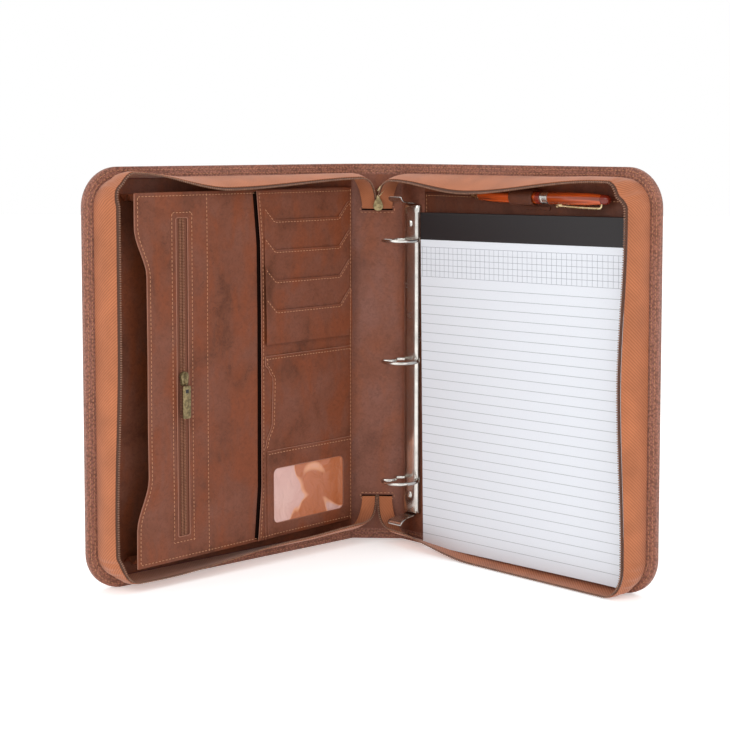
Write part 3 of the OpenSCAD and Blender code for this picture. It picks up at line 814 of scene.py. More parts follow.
def make_stage():
    """Plain white floor, white surround and large soft lights."""
    scene = bpy.context.scene
    scene.view_settings.view_transform = "Standard"
    world = bpy.data.worlds.new("studio")
    scene.world = world
    world.use_nodes = True
    world.node_tree.nodes["Background"].inputs["Color"].default_value = (1.0, 1.0, 1.0, 1.0)
    world.node_tree.nodes["Background"].inputs["Strength"].default_value = 1.0
    half = 6.0
    floor = new_piece(
        "floor",
        mesh_from("floor", [(-half, -half, 0), (half, -half, 0), (half, half, 0), (-half, half, 0)],
                  [(0, 1, 2, 3)]),
    )
    material, _, _ = principled(
        "matt_white_sweep",
        {"Base Color": (0.9, 0.9, 0.9, 1.0), "Roughness": 0.9,
         "Emission Color": (1.0, 1.0, 1.0, 1.0), "Emission Strength": 0.35},
    )
    floor.data.materials.append(material)
    area_light("key", (-0.9, -1.7, 1.5), (0, -0.05, 0.17), (1.4, 1.0), 9.0, (1.0, 0.98, 0.95))
    area_light("fill", (1.3, -1.4, 0.9), (0, -0.05, 0.17), (1.0, 1.2), 4.0)
    area_light("top", (0.0, 0.1, 1.7), (0, -0.05, 0.2), (1.2, 0.8), 2.5)


# ---- Covers ---------------------------------------------------------------------------------

SEAM_R = CORNER_R - RIM_W


def outline_across(inset):
    """Rows of z with the cover's outer edge there, for an outline that is inset all round."""
    r = CORNER_R - inset
    low, high = inset, CASE_H - inset
    turns = [math.pi / 2 * i / 14 for i in range(15)]
    ends = [(r * (1 - math.cos(t)), r * (1 - math.sin(t))) for t in turns]
    rows = [(low + z, COVER_W - inset - back) for z, back in ends]
    middle = np.linspace(low + r, high - r, 30)[1:-1]
    upper = [(high - (z - low), edge) for z, edge in rows[::-1]]
    return rows + [(z, COVER_W - inset) for z in middle] + upper


def cover_sheet(name, side, inset, height, thickness, round_edge, lumps, start):
    """A sheet of leather over a whole cover and round its crease to the spine."""
    rows = outline_across(inset)
    edge_of = {round(z, 7): edge for z, edge in rows}
    crease = list(np.linspace(start, 0.0, 9))
    spread = [i / 40 for i in range(1, 41)]

    def point(column, z):
        s = column if column <= 0 else column * edge_of[round(z, 7)]
        flat = wave((s, z, side), 70 * MM, 3) * lumps if s > 0 else 0.0
        fade = min(1.0, max(0.0, s / (20 * MM)))
        return cover_point(side, s, height + flat * fade, z)

    return sheet(
        name, [z for z, _ in rows], crease + spread, point, thickness, round_edge,
        offset=1.0 if side < 0 else -1.0,
    )


def second_material(piece, material, chosen):
    """Gives a piece's faces another material where chosen(middle of the face) is true."""
    piece.data.materials.append(MATERIALS[material])
    last = len(piece.data.materials) - 1
    for face in piece.data.polygons:
        if chosen(face.center):
            face.material_index = last


def make_covers():
    """The outer leather, rims, linings and spine, with painted shade in the spine's two slits."""
    for side, label in ((1, "back"), (-1, "front")):
        shell = cover_sheet(f"{label}_leather", side, 0.0, 0.0, COVER_T, 1.3 * MM, 0.0, CREASE_S)
        bend(shell, side, "rim", "rim_leather", f"{label}_outer_cover", f"{label}_board",
             f"{label}_hinge_crease", reach_out=0.0)
        inner = cover_sheet(f"{label}_inside", side, RIM_W, 0.12 * MM, 0.5 * MM, 0.0, 0.0,
                            CREASE_S)
        bend(inner, side, "panel", "leather", f"{label}_lining", reach_out=0.0)
        limit = abs(cover_point(side, (27 if side > 0 else 3) * MM, 0.0, 0.0).x)
        second_material(inner, "lining", lambda p, limit=limit: abs(p.x) < limit)

    def spine_point(height):
        return lambda x, z: Vector((x, INNER_Y - height, z))

    columns = np.linspace(-SPINE_HALF, SPINE_HALF, 13)
    outer = sheet("spine_leather", np.linspace(0, CASE_H, 40), columns, spine_point(0.0), COVER_T)
    dress(outer, "rim", "spine", "rim_leather", "spine_outer_cover", "spine_board")
    inner = sheet("spine_inside", np.linspace(RIM_W, CASE_H - RIM_W, 40), columns,
                  spine_point(0.12 * MM), 0.5 * MM)
    dress(inner, "lining", "spine", "lining_leather", "spine_lining")
    # The slits' openings: thin near-black prisms on the spine's lining, painted shade of the holes the
    # zip tails run into.
    slit_shade_prisms = [
        prism("slit", rounded(-14 * MM, 14 * MM, z - 0.9 * MM, z + 0.9 * MM, 0.8 * MM, 4),
              lambda a, b, h: Vector((a, INNER_Y - h, b)), 0.05 * MM, 0.2 * MM)
        for z in SLIT_Z.values()
    ]
    dress(joined("spine_slit_painted_shade", slit_shade_prisms), "bag", "spine", "lining_leather")


# ---- Gussets and main zip -------------------------------------------------------------------

# How far the zip edge leans in from the seam, in mm, at places along the gusset. A place runs 0 to 1
# along the top, to 2 round the upper corner, to 3 down the side, to 4 round the lower corner and
# to 5 back along the foot.
FRONT_LEAN = [(0, 3), (0.6, 10), (1, -5), (1.4, 1), (2, 8), (2.4, 8), (2.9, 4), (3.3, 6),
              (4.1, -2), (4.7, 7), (5, 10)]
BACK_LEAN = [(0, 5), (0.35, 14), (0.95, 2), (1.5, 10), (2.05, 6), (2.5, 11), (3, 6), (4.1, -3),
             (4.6, -3), (5, 10)]
BACK_SEAM_FOOT = 4 * MM
TAIL_START = 7 * MM


def smooth_value(table, q):
    """The value at q of a table of (place, value), eased between its entries."""
    for (q0, a), (q1, b) in zip(table, table[1:]):
        if q <= q1:
            t = min(1.0, max(0.0, (q - q0) / (q1 - q0)))
            return a + (b - a) * t * t * (3 - 2 * t)
    return table[-1][1]


def seam(side, q):
    """A point of the gusset's seam in x and z, and the direction inwards from it."""
    corner_x, low_z, high_z = COVER_W - CORNER_R, CORNER_R, CASE_H - CORNER_R
    foot = BACK_SEAM_FOOT if side > 0 else RIM_W
    part, t = min(4, int(q)), q - min(4, int(q))
    if part == 0:
        return (TAIL_START + (corner_x - TAIL_START) * t, high_z + SEAM_R), (0.0, -1.0)
    if part == 4:
        return (corner_x + (TAIL_START - corner_x) * t, foot), (0.0, 1.0)
    if part == 2:
        return (corner_x + SEAM_R, high_z + (low_z - high_z) * t), (-1.0, 0.0)
    turn = math.pi / 2 * (1 - t if part == 1 else -t)
    centre_z, drop = (high_z, SEAM_R) if part == 1 else (low_z, low_z - foot)
    way = (math.cos(turn), math.sin(turn))
    return (corner_x + SEAM_R * way[0], centre_z + drop * way[1]), (-way[0], -way[1])


def gusset_columns():
    """Places along the gusset, closer together round the corners."""
    counts = (80, 36, 70, 36, 80)
    return [part + i / n for part, n in enumerate(counts) for i in range(n)] + [5.0]


def gusset_point(side, q, t, off=0.0):
    """A point of the gusset: q along it, t from its seam (0) to its zip (1), off inwards."""
    (x, z), (nx, nz) = seam(side, q)
    lean = smooth_value(FRONT_LEAN if side < 0 else BACK_LEAN, q) * t
    corner = max(0.0, 1 - abs(q - 1.5) / 0.75) + max(0.0, 1 - abs(q - 3.5) / 0.75)
    folds = wave((q * 1.3, t * 0.1, side), 0.16, 5) * 2.2 * corner
    slack = wave((q, t * 0.2, side), 0.3, 2) * 0.9
    bow = -2.0 if q < 3.9 else -1.6
    push = (lean + (bow + folds + slack) * math.sin(math.pi * min(1.0, t))) * MM + off
    px = x + nx * push
    pz = z + nz * push
    height = 0.3 * MM + t * (GUSSET_H - 0.9 * MM)
    return cover_point(side, px, height, max(0.4 * MM, pz))


def tail_point(side, end, p, t, off=0.0):
    """A point of the tape tail from the gusset (p = 0) to the slit in the spine (p = 1)."""
    q = 0.0 if end == "top" else 5.0
    start = gusset_point(side, q, t, off)
    before = gusset_point(side, abs(q - 0.03), t, off)
    slit = Vector((side * (13.5 - 12.6 * t) * MM, INNER_Y + 0.3 * MM - off, SLIT_Z[end]))
    away = (start - before).normalized() * 14 * MM
    down = Vector((0, -10 * MM, 11 * MM if end == "top" else -11 * MM))
    a, b, c = (1 - p) ** 3, 3 * p * (1 - p) ** 2, 3 * p * p * (1 - p)
    return start * a + (start + away) * b + (slit + down) * c + slit * p**3


def gusset_path(side, t, off=0.0, steps=14):
    """Every place along a gusset and its two tails, as functions of t."""
    upper = [("top", 1 - i / steps) for i in range(steps)]
    lower = [("foot", (i + 1) / steps) for i in range(steps)]
    points = [tail_point(side, end, p, t, off) for end, p in upper]
    points += [gusset_point(side, q, t, off) for q in gusset_columns()]
    return points + [tail_point(side, end, p, t, off) for end, p in lower]


def band(name, side, t0, t1, rows, thickness, off=0.0):
    """A strip of cloth along a gusset and its tails, from t0 to t1 of its height."""
    lines = [gusset_path(side, t0 + (t1 - t0) * j / rows, off) for j in range(rows + 1)]
    lengths = [0.0]
    for a, b in zip(lines[rows // 2], lines[rows // 2][1:]):
        lengths.append(lengths[-1] + (b - a).length)
    place = {length: i for i, length in enumerate(lengths)}
    piece = sheet(
        name, list(range(rows + 1)), lengths, lambda u, v: lines[int(v)][place[u]], thickness,
        uv_size=(1.0, GUSSET_H * (t1 - t0) / rows), offset=1.0 if side < 0 else -1.0,
    )
    return piece


def make_gussets():
    """The cloth gussets with their zip tapes and teeth, from slit to slit."""
    sizes = bpy.context.scene.case_sizes
    for side, label in ((1, "back"), (-1, "front")):
        cloth = band(f"{label}_gusset_cloth", side, 0.0, 0.92, 14, 0.7 * MM)
        bend(cloth, side, "gusset", "gusset_fabric", f"{label}_gusset", f"{label}_zip_tails")
        tape = band(f"{label}_tape", side, 0.92, 1.0, 3, 0.5 * MM, 0.5 * MM)
        bend(tape, side, "tape", "zip_tape", f"{label}_zip_tape")
        edge = gusset_path(side, 1.02, 0.3 * MM)
        teeth = row_piece(
            f"{label}_teeth", row_tree("zip_teeth", True), [edge], sizes.tooth_pitch,
            (1.9 * MM, 1.7 * MM, 1.15 * MM), MATERIALS["teeth"], tuple(-IN),
        )
        bend(teeth, side, None, "zip_teeth", f"{label}_zip_teeth")
        line = [gusset_point(side, q, 0.0) for q in gusset_columns()]
        piping = tube(f"{label}_seam_piping", [line], 0.45 * MM, 8)
        dress(piping, "seam", f"{label}_cover", "rim_leather")


def slider_pieces(name, centre, across, along, out, w, h, depth):
    """A zip slider: two rounded plates, the wedge between them and the bridge for its pull."""

    def place(a, b, height):
        return centre + across * a + along * b + out * height

    shield = (
        arc((0, h * 0.12), w * 0.5, 0, 180, 10) + [(-w * 0.34, -h * 0.5), (w * 0.34, -h * 0.5)]
    )
    wedge = rounded(-w * 0.14, w * 0.14, -h * 0.05, h * 0.45, w * 0.1, 3)
    parts = [
        prism("a", shield, place, 0.0, 1.1 * MM, 0.35 * MM),
        prism("b", shield, place, depth - 1.1 * MM, depth, 0.35 * MM),
        prism("c", wedge, place, 1.0 * MM, depth - 1.0 * MM),
    ]
    bridge = [
        place(0, b * h, depth + lift * MM)
        for b, lift in ((-0.4, -0.3), (-0.38, 1.2), (-0.25, 2.1), (0, 2.3), (0.22, 2.0), (0.36, 0.9),
                        (0.38, -0.3))
    ]
    parts.append(tube("d", [bridge], 0.75 * MM))
    return joined(name, parts)


def make_main_slider():
    """The main zip's slider, parked at the top of the spine, with its strap and oval pull."""
    low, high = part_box("main_zip_slider")
    middle = (low + high) / 2
    along = Vector((0.75, -0.2, 0.62)).normalized()
    out = Vector((-0.1, -1.0, -0.25))
    out = (out - along * out.dot(along)).normalized()
    body = slider_pieces("a", middle + Vector((3 * MM, 0, 3 * MM)), along.cross(out), along, out,
                         5.6 * MM, 9 * MM, 3.0 * MM)
    ring_low, ring_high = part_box("main_zip_pull")
    face = (ring_low.y + ring_high.y) / 2
    x = (ring_low.x + ring_high.x) / 2
    strap_start = Vector((x, face, ring_high.z - 1.5 * MM))
    strap_end = middle + Vector((13 * MM, -1.5 * MM, 11 * MM))
    strap = tube("b", [[strap_start, strap_start.lerp(strap_end, 0.5) + Vector((0, -0.8 * MM, 0)),
                        strap_end]], 0.8 * MM, 10)
    dress(joined("zip_slider_main", [body, strap]), "gold", "spine", "antique_brass",
          "main_zip_slider")

    def place(a, b, height):
        return Vector((x + a, face - height, ring_low.z + b))

    length = ring_high.z - ring_low.z
    outline = (
        arc((0, 5.2 * MM), 4.6 * MM, 180, 360, 16)
        + arc((0, length - 6.2 * MM), 3.4 * MM, 10, 60, 4)
        + [(1.2 * MM, length), (-1.2 * MM, length)]
        + arc((0, length - 6.2 * MM), 3.4 * MM, 120, 170, 4)
    )
    pull = prism("a", outline, place, -0.6 * MM, 0.6 * MM, 0.35 * MM, 3)
    boss = prism("b", arc((0, 5.4 * MM), 2.6 * MM, 0, 345, 23), place, 0.5 * MM, 0.8 * MM, 0.15 * MM)
    dress(joined("zip_pull_main", [pull, boss]), "brass", "main_pull", "antique_brass",
          "main_zip_pull")


# ---- Document pocket ------------------------------------------------------------------------

RECESS = [(0.0, 0.0), (50.0, 0.0), (92.0, 12.0), (254.0, 12.0), (294.0, 0.0), (342.0, 0.0)]


def leaf_edge(z):
    """How far the leaf reaches at height z, with the hand recess cut into it."""
    return LEAF_W - smooth_value(RECESS, z / MM) * MM


def leaf_height(v, z, w):
    """The leaf's face height at a place, gently wavy as heavy leather hangs."""
    return w + wave((v, z, 1.0), 90 * MM, 8) * 0.8 * MM * min(1.0, v / (60 * MM))


def make_leaf():
    """The document pocket's leaf with its zip opening, and its folded ends."""
    rows = sorted(
        list(np.linspace(LEAF_FOOT, LEAF_TOP, 60)) + [ZIP_FOOT, ZIP_TOP]
    )
    straight = 210 * MM
    gap = (ZIP_V - ZIP_GAP / 2, ZIP_V + ZIP_GAP / 2)
    columns = sorted(
        list(np.linspace(0, gap[0] - 4 * MM, 30)) + [gap[0], ZIP_V, gap[1]]
        + list(np.linspace(gap[1] + 3 * MM, LEAF_W, 9))
    )

    def point(v, z):
        if v > straight:
            v = straight + (v - straight) / (LEAF_W - straight) * (leaf_edge(z) - straight)
        return leaf_point(v, leaf_height(v, z, 0.0), z)

    leaf = sheet("pocket_leaf", rows, columns, point, 1.6 * MM, 0.45 * MM,
                 offset=1.0, hole=(gap[0], gap[1], ZIP_FOOT, ZIP_TOP))
    dress(leaf, "panel", "pocket_leaf", "leather", "document_pocket_leaf")
    zs = np.linspace(LEAF_FOOT + 0.6 * MM, LEAF_TOP - 0.6 * MM, 60)
    rim = [leaf_point(leaf_edge(z), leaf_height(leaf_edge(z), z, -0.35 * MM), z) for z in zs]
    opening = rounded(*gap, ZIP_FOOT, ZIP_TOP, 1.5 * MM, 4)
    mouth = [leaf_point(v, leaf_height(v, z, -0.2 * MM), z) for v, z in opening + opening[:1]]
    # Lighter tubes along the leaf's edge and zip mouth: partly the cut edge's tone, partly painted
    # highlight.
    edges = tube("leaf_edges", [rim, mouth], 0.45 * MM, 8)
    dress(edges, "edge", "pocket_leaf", "leather")

    def back_point(v, z):
        return leaf_point(v, -2.0 * MM, z)

    bag = sheet("zip_bag", np.linspace(ZIP_FOOT - 8 * MM, ZIP_TOP + 8 * MM, 8),
                np.linspace(ZIP_V - 60 * MM, ZIP_V + 15 * MM, 8), back_point, 0.5 * MM, offset=1.0)
    dress(bag, "bag", "pocket_leaf", "pocket_fabric", "zip_pocket_bag")
    make_bellows()


def make_bellows():
    """The accordion folds that close the document pocket at its top and foot."""
    folds = 4

    def fold_point(z_edge, way):
        def point(v, level):
            base = cover_point(-1, 3 * MM + v, 0.3 * MM, z_edge)
            tip = leaf_point(v, -1.9 * MM, z_edge)
            middle = base.lerp(tip, level)
            depth = min(1.0, v / (80 * MM)) * 5.0 * MM
            zigzag = abs((level * folds) % 2 - 1)
            return middle + Vector((0, 0, way * zigzag * depth))
        return point

    parts = [
        sheet("fold", list(np.linspace(0, 1, folds * 3 + 1)), np.linspace(4 * MM, LEAF_W - 3 * MM, 26),
              fold_point(z, way), 0.6 * MM)
        for z, way in ((LEAF_TOP - 6.5 * MM, 1), (LEAF_FOOT + 6.5 * MM, -1))
    ]
    bellows = joined("bellows", parts)
    dress(bellows, "panel", None, "leather", "pocket_bellows")
    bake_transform(bellows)


def make_pocket_zip():
    """The leaf's zip: tape, coils, slider and flat pull."""

    def tape_point(v, z):
        return leaf_point(v, -0.9 * MM, z)

    tape = sheet("leaf_zip_tape", np.linspace(ZIP_FOOT - 3 * MM, ZIP_TOP + 3 * MM, 10),
                 np.linspace(ZIP_V - 7 * MM, ZIP_V + 7 * MM, 6), tape_point, 0.5 * MM, offset=1.0)
    dress(tape, "pocket_tape", "pocket_leaf", "zip_tape", "pocket_zip_tape")
    lines = [
        [leaf_point(ZIP_V + side * 1.5 * MM, -0.2 * MM, z)
         for z in np.linspace(ZIP_FOOT, ZIP_TOP, 40)]
        for side in (-1, 1)
    ]
    coil = row_piece("leaf_zip_coil", row_tree("zip_coil", True), lines, 1.25 * MM,
                     (2.9 * MM, 1.5 * MM, 0.85 * MM), MATERIALS["coil"], tuple(LEAF_OUT))
    dress(coil, None, "pocket_leaf", "zip_teeth", "pocket_zip_teeth")
    low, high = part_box("pocket_zip_slider")
    middle = leaf_point(ZIP_V, 0.3 * MM, (low.z + high.z) / 2)
    slider = slider_pieces("leaf_zip_slider", middle, LEAF_OUT, Vector((0, 0, 1)), LEAF_FACE,
                           8 * MM, 12 * MM, 2.8 * MM)
    dress(slider, "brass", "zip_slider", "antique_brass", "pocket_zip_slider")
    low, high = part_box("pocket_zip_pull")

    def place(a, b, height):
        return leaf_point(ZIP_V + a, 4.2 * MM + height, low.z + b)

    length = high.z - low.z
    outline = rounded(-4 * MM, 4 * MM, 0.0, length, 1.4 * MM, 4)
    plate = prism("a", outline, place, 0.0, 1.3 * MM, 0.4 * MM)
    rim = rounded(-2.4 * MM, 2.4 * MM, length - 6.8 * MM, length - 2.2 * MM, 0.8 * MM, 3)
    eye = prism("b", rim, place, 1.0 * MM, 1.36 * MM, 0.1 * MM)
    # The eye is not cut through the pull: a thin black prism inside its rim is painted shade of the
    # hole.
    inner = rounded(-1.5 * MM, 1.5 * MM, length - 6.0 * MM, length - 3.0 * MM, 0.5 * MM, 3)
    hole = prism("leaf_zip_pull_hole_painted_shade", inner, place, 1.34 * MM, 1.4 * MM)
    dress(joined("leaf_zip_pull", [plate, eye]), "brass", "zip_pull", "antique_brass",
          "pocket_zip_pull")
    dress(hole, "black", "zip_pull", "antique_brass")


# ---- Card panel -----------------------------------------------------------------------------

SLOT_TOP_Z = 295.3 * MM
SLOT_PITCH = 25.9 * MM
LARGE_POCKET_Z = 178.4 * MM
ID_POCKET_Z = 96 * MM
LAYER = 0.7 * MM
SKIN = 0.62 * MM
PUFF = 0.7
ID_PUFF = 0.2


def card_lift(v):
    """How far the card panel's free edge stands off the leaf at v."""
    t = min(1.0, max(0.0, (v - 75 * MM) / (CARD_W - 75 * MM)))
    return 1.5 * MM * t * t


def card_height(v, z, layer, drop, puff):
    """The face of a card piece at (v, z), drop below its mouth, which stands open by puff."""
    across = math.sin(math.pi * min(1.0, max(0.0, v / CARD_W)))
    open_by = puff * MM * across * max(0.0, 1 - drop / (18 * MM)) ** 2
    return leaf_height(v, z, 0.1 * MM + LAYER * layer) + open_by + card_lift(v)


def card_piece(name, low, high, right, layer, node, puff=0.5, hole=None, rows=16, columns=None):
    """One sewn leather piece of the card panel, on a layer, standing open at its mouth."""
    columns = columns if columns is not None else np.linspace(CARD_EDGE, CARD_W + 4 * MM, 40)

    def point(v, t):
        v = min(v, right(low + (high(v) - low) * t))
        z = low + (high(v) - low) * t
        return leaf_point(v, card_height(v, z, layer, high(v) - z, puff), z)

    levels = np.linspace(0, 1, rows) ** 0.8 if np.isscalar(rows) else rows
    piece = sheet(name, levels, columns, point, SKIN, 0.2 * MM, offset=-1.0, hole=hole)
    dress(piece, "panel", "pocket_leaf", "leather", node)
    return piece


def slot_top(z):
    """The top edge of a card slot: flat, with slanted shoulders at both ends."""

    def height(v):
        v = v / MM
        left = min(13.0, max(0.0, (17.0 - v) / 11.5) * 13.0)
        right = min(11.0, max(0.0, (v - 93.0) / 11.0) * 11.0)
        return z + (left + right) * MM

    return height


def panel_edge(z):
    """The card panel's free edge, bowed towards the hinge in its middle."""
    t = abs(z - CASE_H / 2) / (150 * MM)
    return CARD_W + max(0.0, t - 0.7) * 14 * MM


THUMB_NOTCH = [(96, 0.0), (103, 3.0), (120, 10.0), (158, 11.0), (167, 6.0), (171, 2.0)]


def thumb_edge(z):
    """The large pocket's free edge, with its thumb notch."""
    return CARD_W - 2 * MM - smooth_value(THUMB_NOTCH, z / MM) * MM


def card_line(points, layer, puff, mouth, off=0.0):
    """Points on a card piece's face through (v, z), off above it, given its mouth's height."""
    lines = []
    for v, z in points:
        drop = max(0.0, mouth(v) - z)
        lines.append(leaf_point(v, card_height(v, z, layer, drop, puff) + SKIN + off, z))
    return lines


def level(z):
    """The height of a mouth that is straight and level at z."""
    return lambda v: z


# The window's left, right, low and high edges
WINDOW = (12.5 * MM, 96 * MM, 32 * MM, 80 * MM)
WINDOW_R = 5 * MM
# A mouth so far up that a piece lies flat all over
FAR_MOUTH = level(1.0)


def make_card_panel():
    """The card panel: four slots, the large pocket, the identity-card pocket and a painted shadow strip
    along the panel's free edge.
    """
    foot = LEAF_FOOT + 1 * MM
    lip = -0.25 * MM
    card_piece("card_panel_leather", foot, level(LEAF_TOP - 1 * MM), panel_edge, 0, "card_panel",
               0.0, rows=40)
    zs = np.linspace(foot, LEAF_TOP - 1 * MM, 50)
    edges = [card_line([(panel_edge(z), z) for z in zs], 0, 0.0, FAR_MOUTH, lip)]
    for k in range(4):
        z = SLOT_TOP_Z - k * SLOT_PITCH
        top = slot_top(z)
        foot_z = max(z - SLOT_PITCH - 3 * MM, LARGE_POCKET_Z + 0.3 * MM)
        card_piece(f"card_slot_leather_{k + 1}", foot_z, top,
                   lambda z: CARD_W - 4 * MM, k + 1, f"card_slot_{k + 1}", PUFF)
        shoulder = [(v, top(v)) for v in np.linspace(3.5 * MM, 17 * MM, 10)]
        edges.append(card_line(shoulder, k + 1, PUFF, top, lip))
    large = level(LARGE_POCKET_Z)
    card_piece("large_pocket_leather", foot, large, thumb_edge, 1, "large_card_pocket", PUFF,
               rows=40)
    zs = np.linspace(98 * MM, LARGE_POCKET_Z, 50)
    edges.append(card_line([(thumb_edge(z), z) for z in zs], 1, PUFF, large, lip))
    brim = [(v, LARGE_POCKET_Z) for v in np.linspace(3 * MM, 105 * MM, 30)]
    edges.append(card_line(brim, 1, PUFF, large, lip))
    left, right, low, high = WINDOW
    columns = sorted(list(np.linspace(CARD_EDGE, left - 3 * MM, 4)) + [left]
                     + list(np.linspace(left + 6 * MM, right - 6 * MM, 14))
                     + [right, 99 * MM, 104 * MM])
    span = ID_POCKET_Z - foot
    levels = sorted(list(np.linspace(0, 1, 16)) + [(z - foot) / span for z in (low, high)])
    hole = (left, right, (low - foot) / span, (high - foot) / span)
    top = level(ID_POCKET_Z)
    card_piece("id_pocket_leather", foot, top, lambda z: CARD_W - 5 * MM, 2,
               "id_pocket", ID_PUFF, hole=hole, rows=levels, columns=columns)
    brim = [(v, ID_POCKET_Z) for v in np.linspace(3 * MM, 103 * MM, 30)]
    edges.append(card_line(brim, 2, ID_PUFF, top, lip))
    corners = []
    for v, z, start in ((right, high, 0), (left, high, 90), (left, low, 180), (right, low, 270)):
        inward = (-1 if v == right else 1, -1 if z == high else 1)
        centre = (v + inward[0] * WINDOW_R, z + inward[1] * WINDOW_R)
        outline = [(v, z)] + arc(centre, WINDOW_R, start + 90, start, 6)

        def place(a, b, height):
            return leaf_point(a, card_height(a, b, 2, ID_POCKET_Z - b, ID_PUFF) + height, b)

        corners.append(prism("corner", outline, place, 0.0, SKIN))
    dress(joined("id_window_corners", corners), "panel", "pocket_leaf", "leather")
    outline = rounded(*WINDOW, WINDOW_R)
    edges.append(card_line(outline + outline[:1], 2, ID_PUFF, top, -0.35 * MM))
    # Lighter tubes along the card edges: partly the cut edge's tone, partly painted highlight.
    dress(tube("card_edges", edges, 0.3 * MM, 8), "edge", "pocket_leaf", "leather")

    def film_point(v, z):
        bulge = 0.35 * MM * math.sin(math.pi * (v - left) / (right - left)) * math.sin(
            math.pi * (z - low) / (high - low))
        height = leaf_height(v, z, 0.1 * MM + LAYER * 2 - 0.2 * MM) + card_lift(v)
        return leaf_point(v, height + max(0.0, bulge), z)

    film = sheet("id_window_film", np.linspace(low - 1 * MM, high + 1 * MM, 24),
                 np.linspace(left - 1 * MM, right + 1 * MM, 40), film_point, 0.15 * MM)
    dress(film, "film", "pocket_leaf", "window_film", "id_window")

    # A near-black strip under the card panel's free edge: painted shadow of the gap where that edge
    # stands off the leaf.
    def mouth_shadow_point(a, z):
        v = panel_edge(z) + a
        return leaf_point(v, leaf_height(v, z, 0.12 * MM), z)

    mouth = sheet("card_panel_mouth_painted_shadow", np.linspace(foot + 1 * MM, LEAF_TOP - 2 * MM, 40),
                  np.linspace(-4 * MM, 3 * MM, 4), mouth_shadow_point, 0.1 * MM)
    dress(mouth, "bag", "pocket_leaf", "pocket_fabric")


# ---- Stitches -------------------------------------------------------------------------------


def cover_row(side, inset, height, foot_gap=0.0):
    """A row of stitches round a cover's three free edges."""
    r = CORNER_R - inset
    corner_x = COVER_W - CORNER_R
    low, high = CORNER_R, CASE_H - CORNER_R
    flat = [(x, CASE_H - inset) for x in np.linspace(5 * MM, corner_x, 30)]
    flat += arc((corner_x, high), r, 90, 0, 14)
    flat += [(COVER_W - inset, z) for z in np.linspace(high, low, 30)]
    flat += arc((corner_x, low), r, 0, -90, 14)
    flat += [(x, inset + foot_gap) for x in np.linspace(corner_x, 5 * MM, 30)]
    return [cover_point(side, x, height, z) for x, z in flat]


def leaf_row(points, height=0.12):
    """A row of stitches on the leaf through (v, z) points."""
    out = []
    for (v0, z0), (v1, z1) in zip(points, points[1:]):
        steps = max(2, int(math.hypot(v1 - v0, z1 - z0) / (4 * MM)))
        out += [(v0 + (v1 - v0) * i / steps, z0 + (z1 - z0) * i / steps) for i in range(steps)]
    out.append(points[-1])
    return [leaf_point(v, leaf_height(v, z, height * MM), z) for v, z in out]


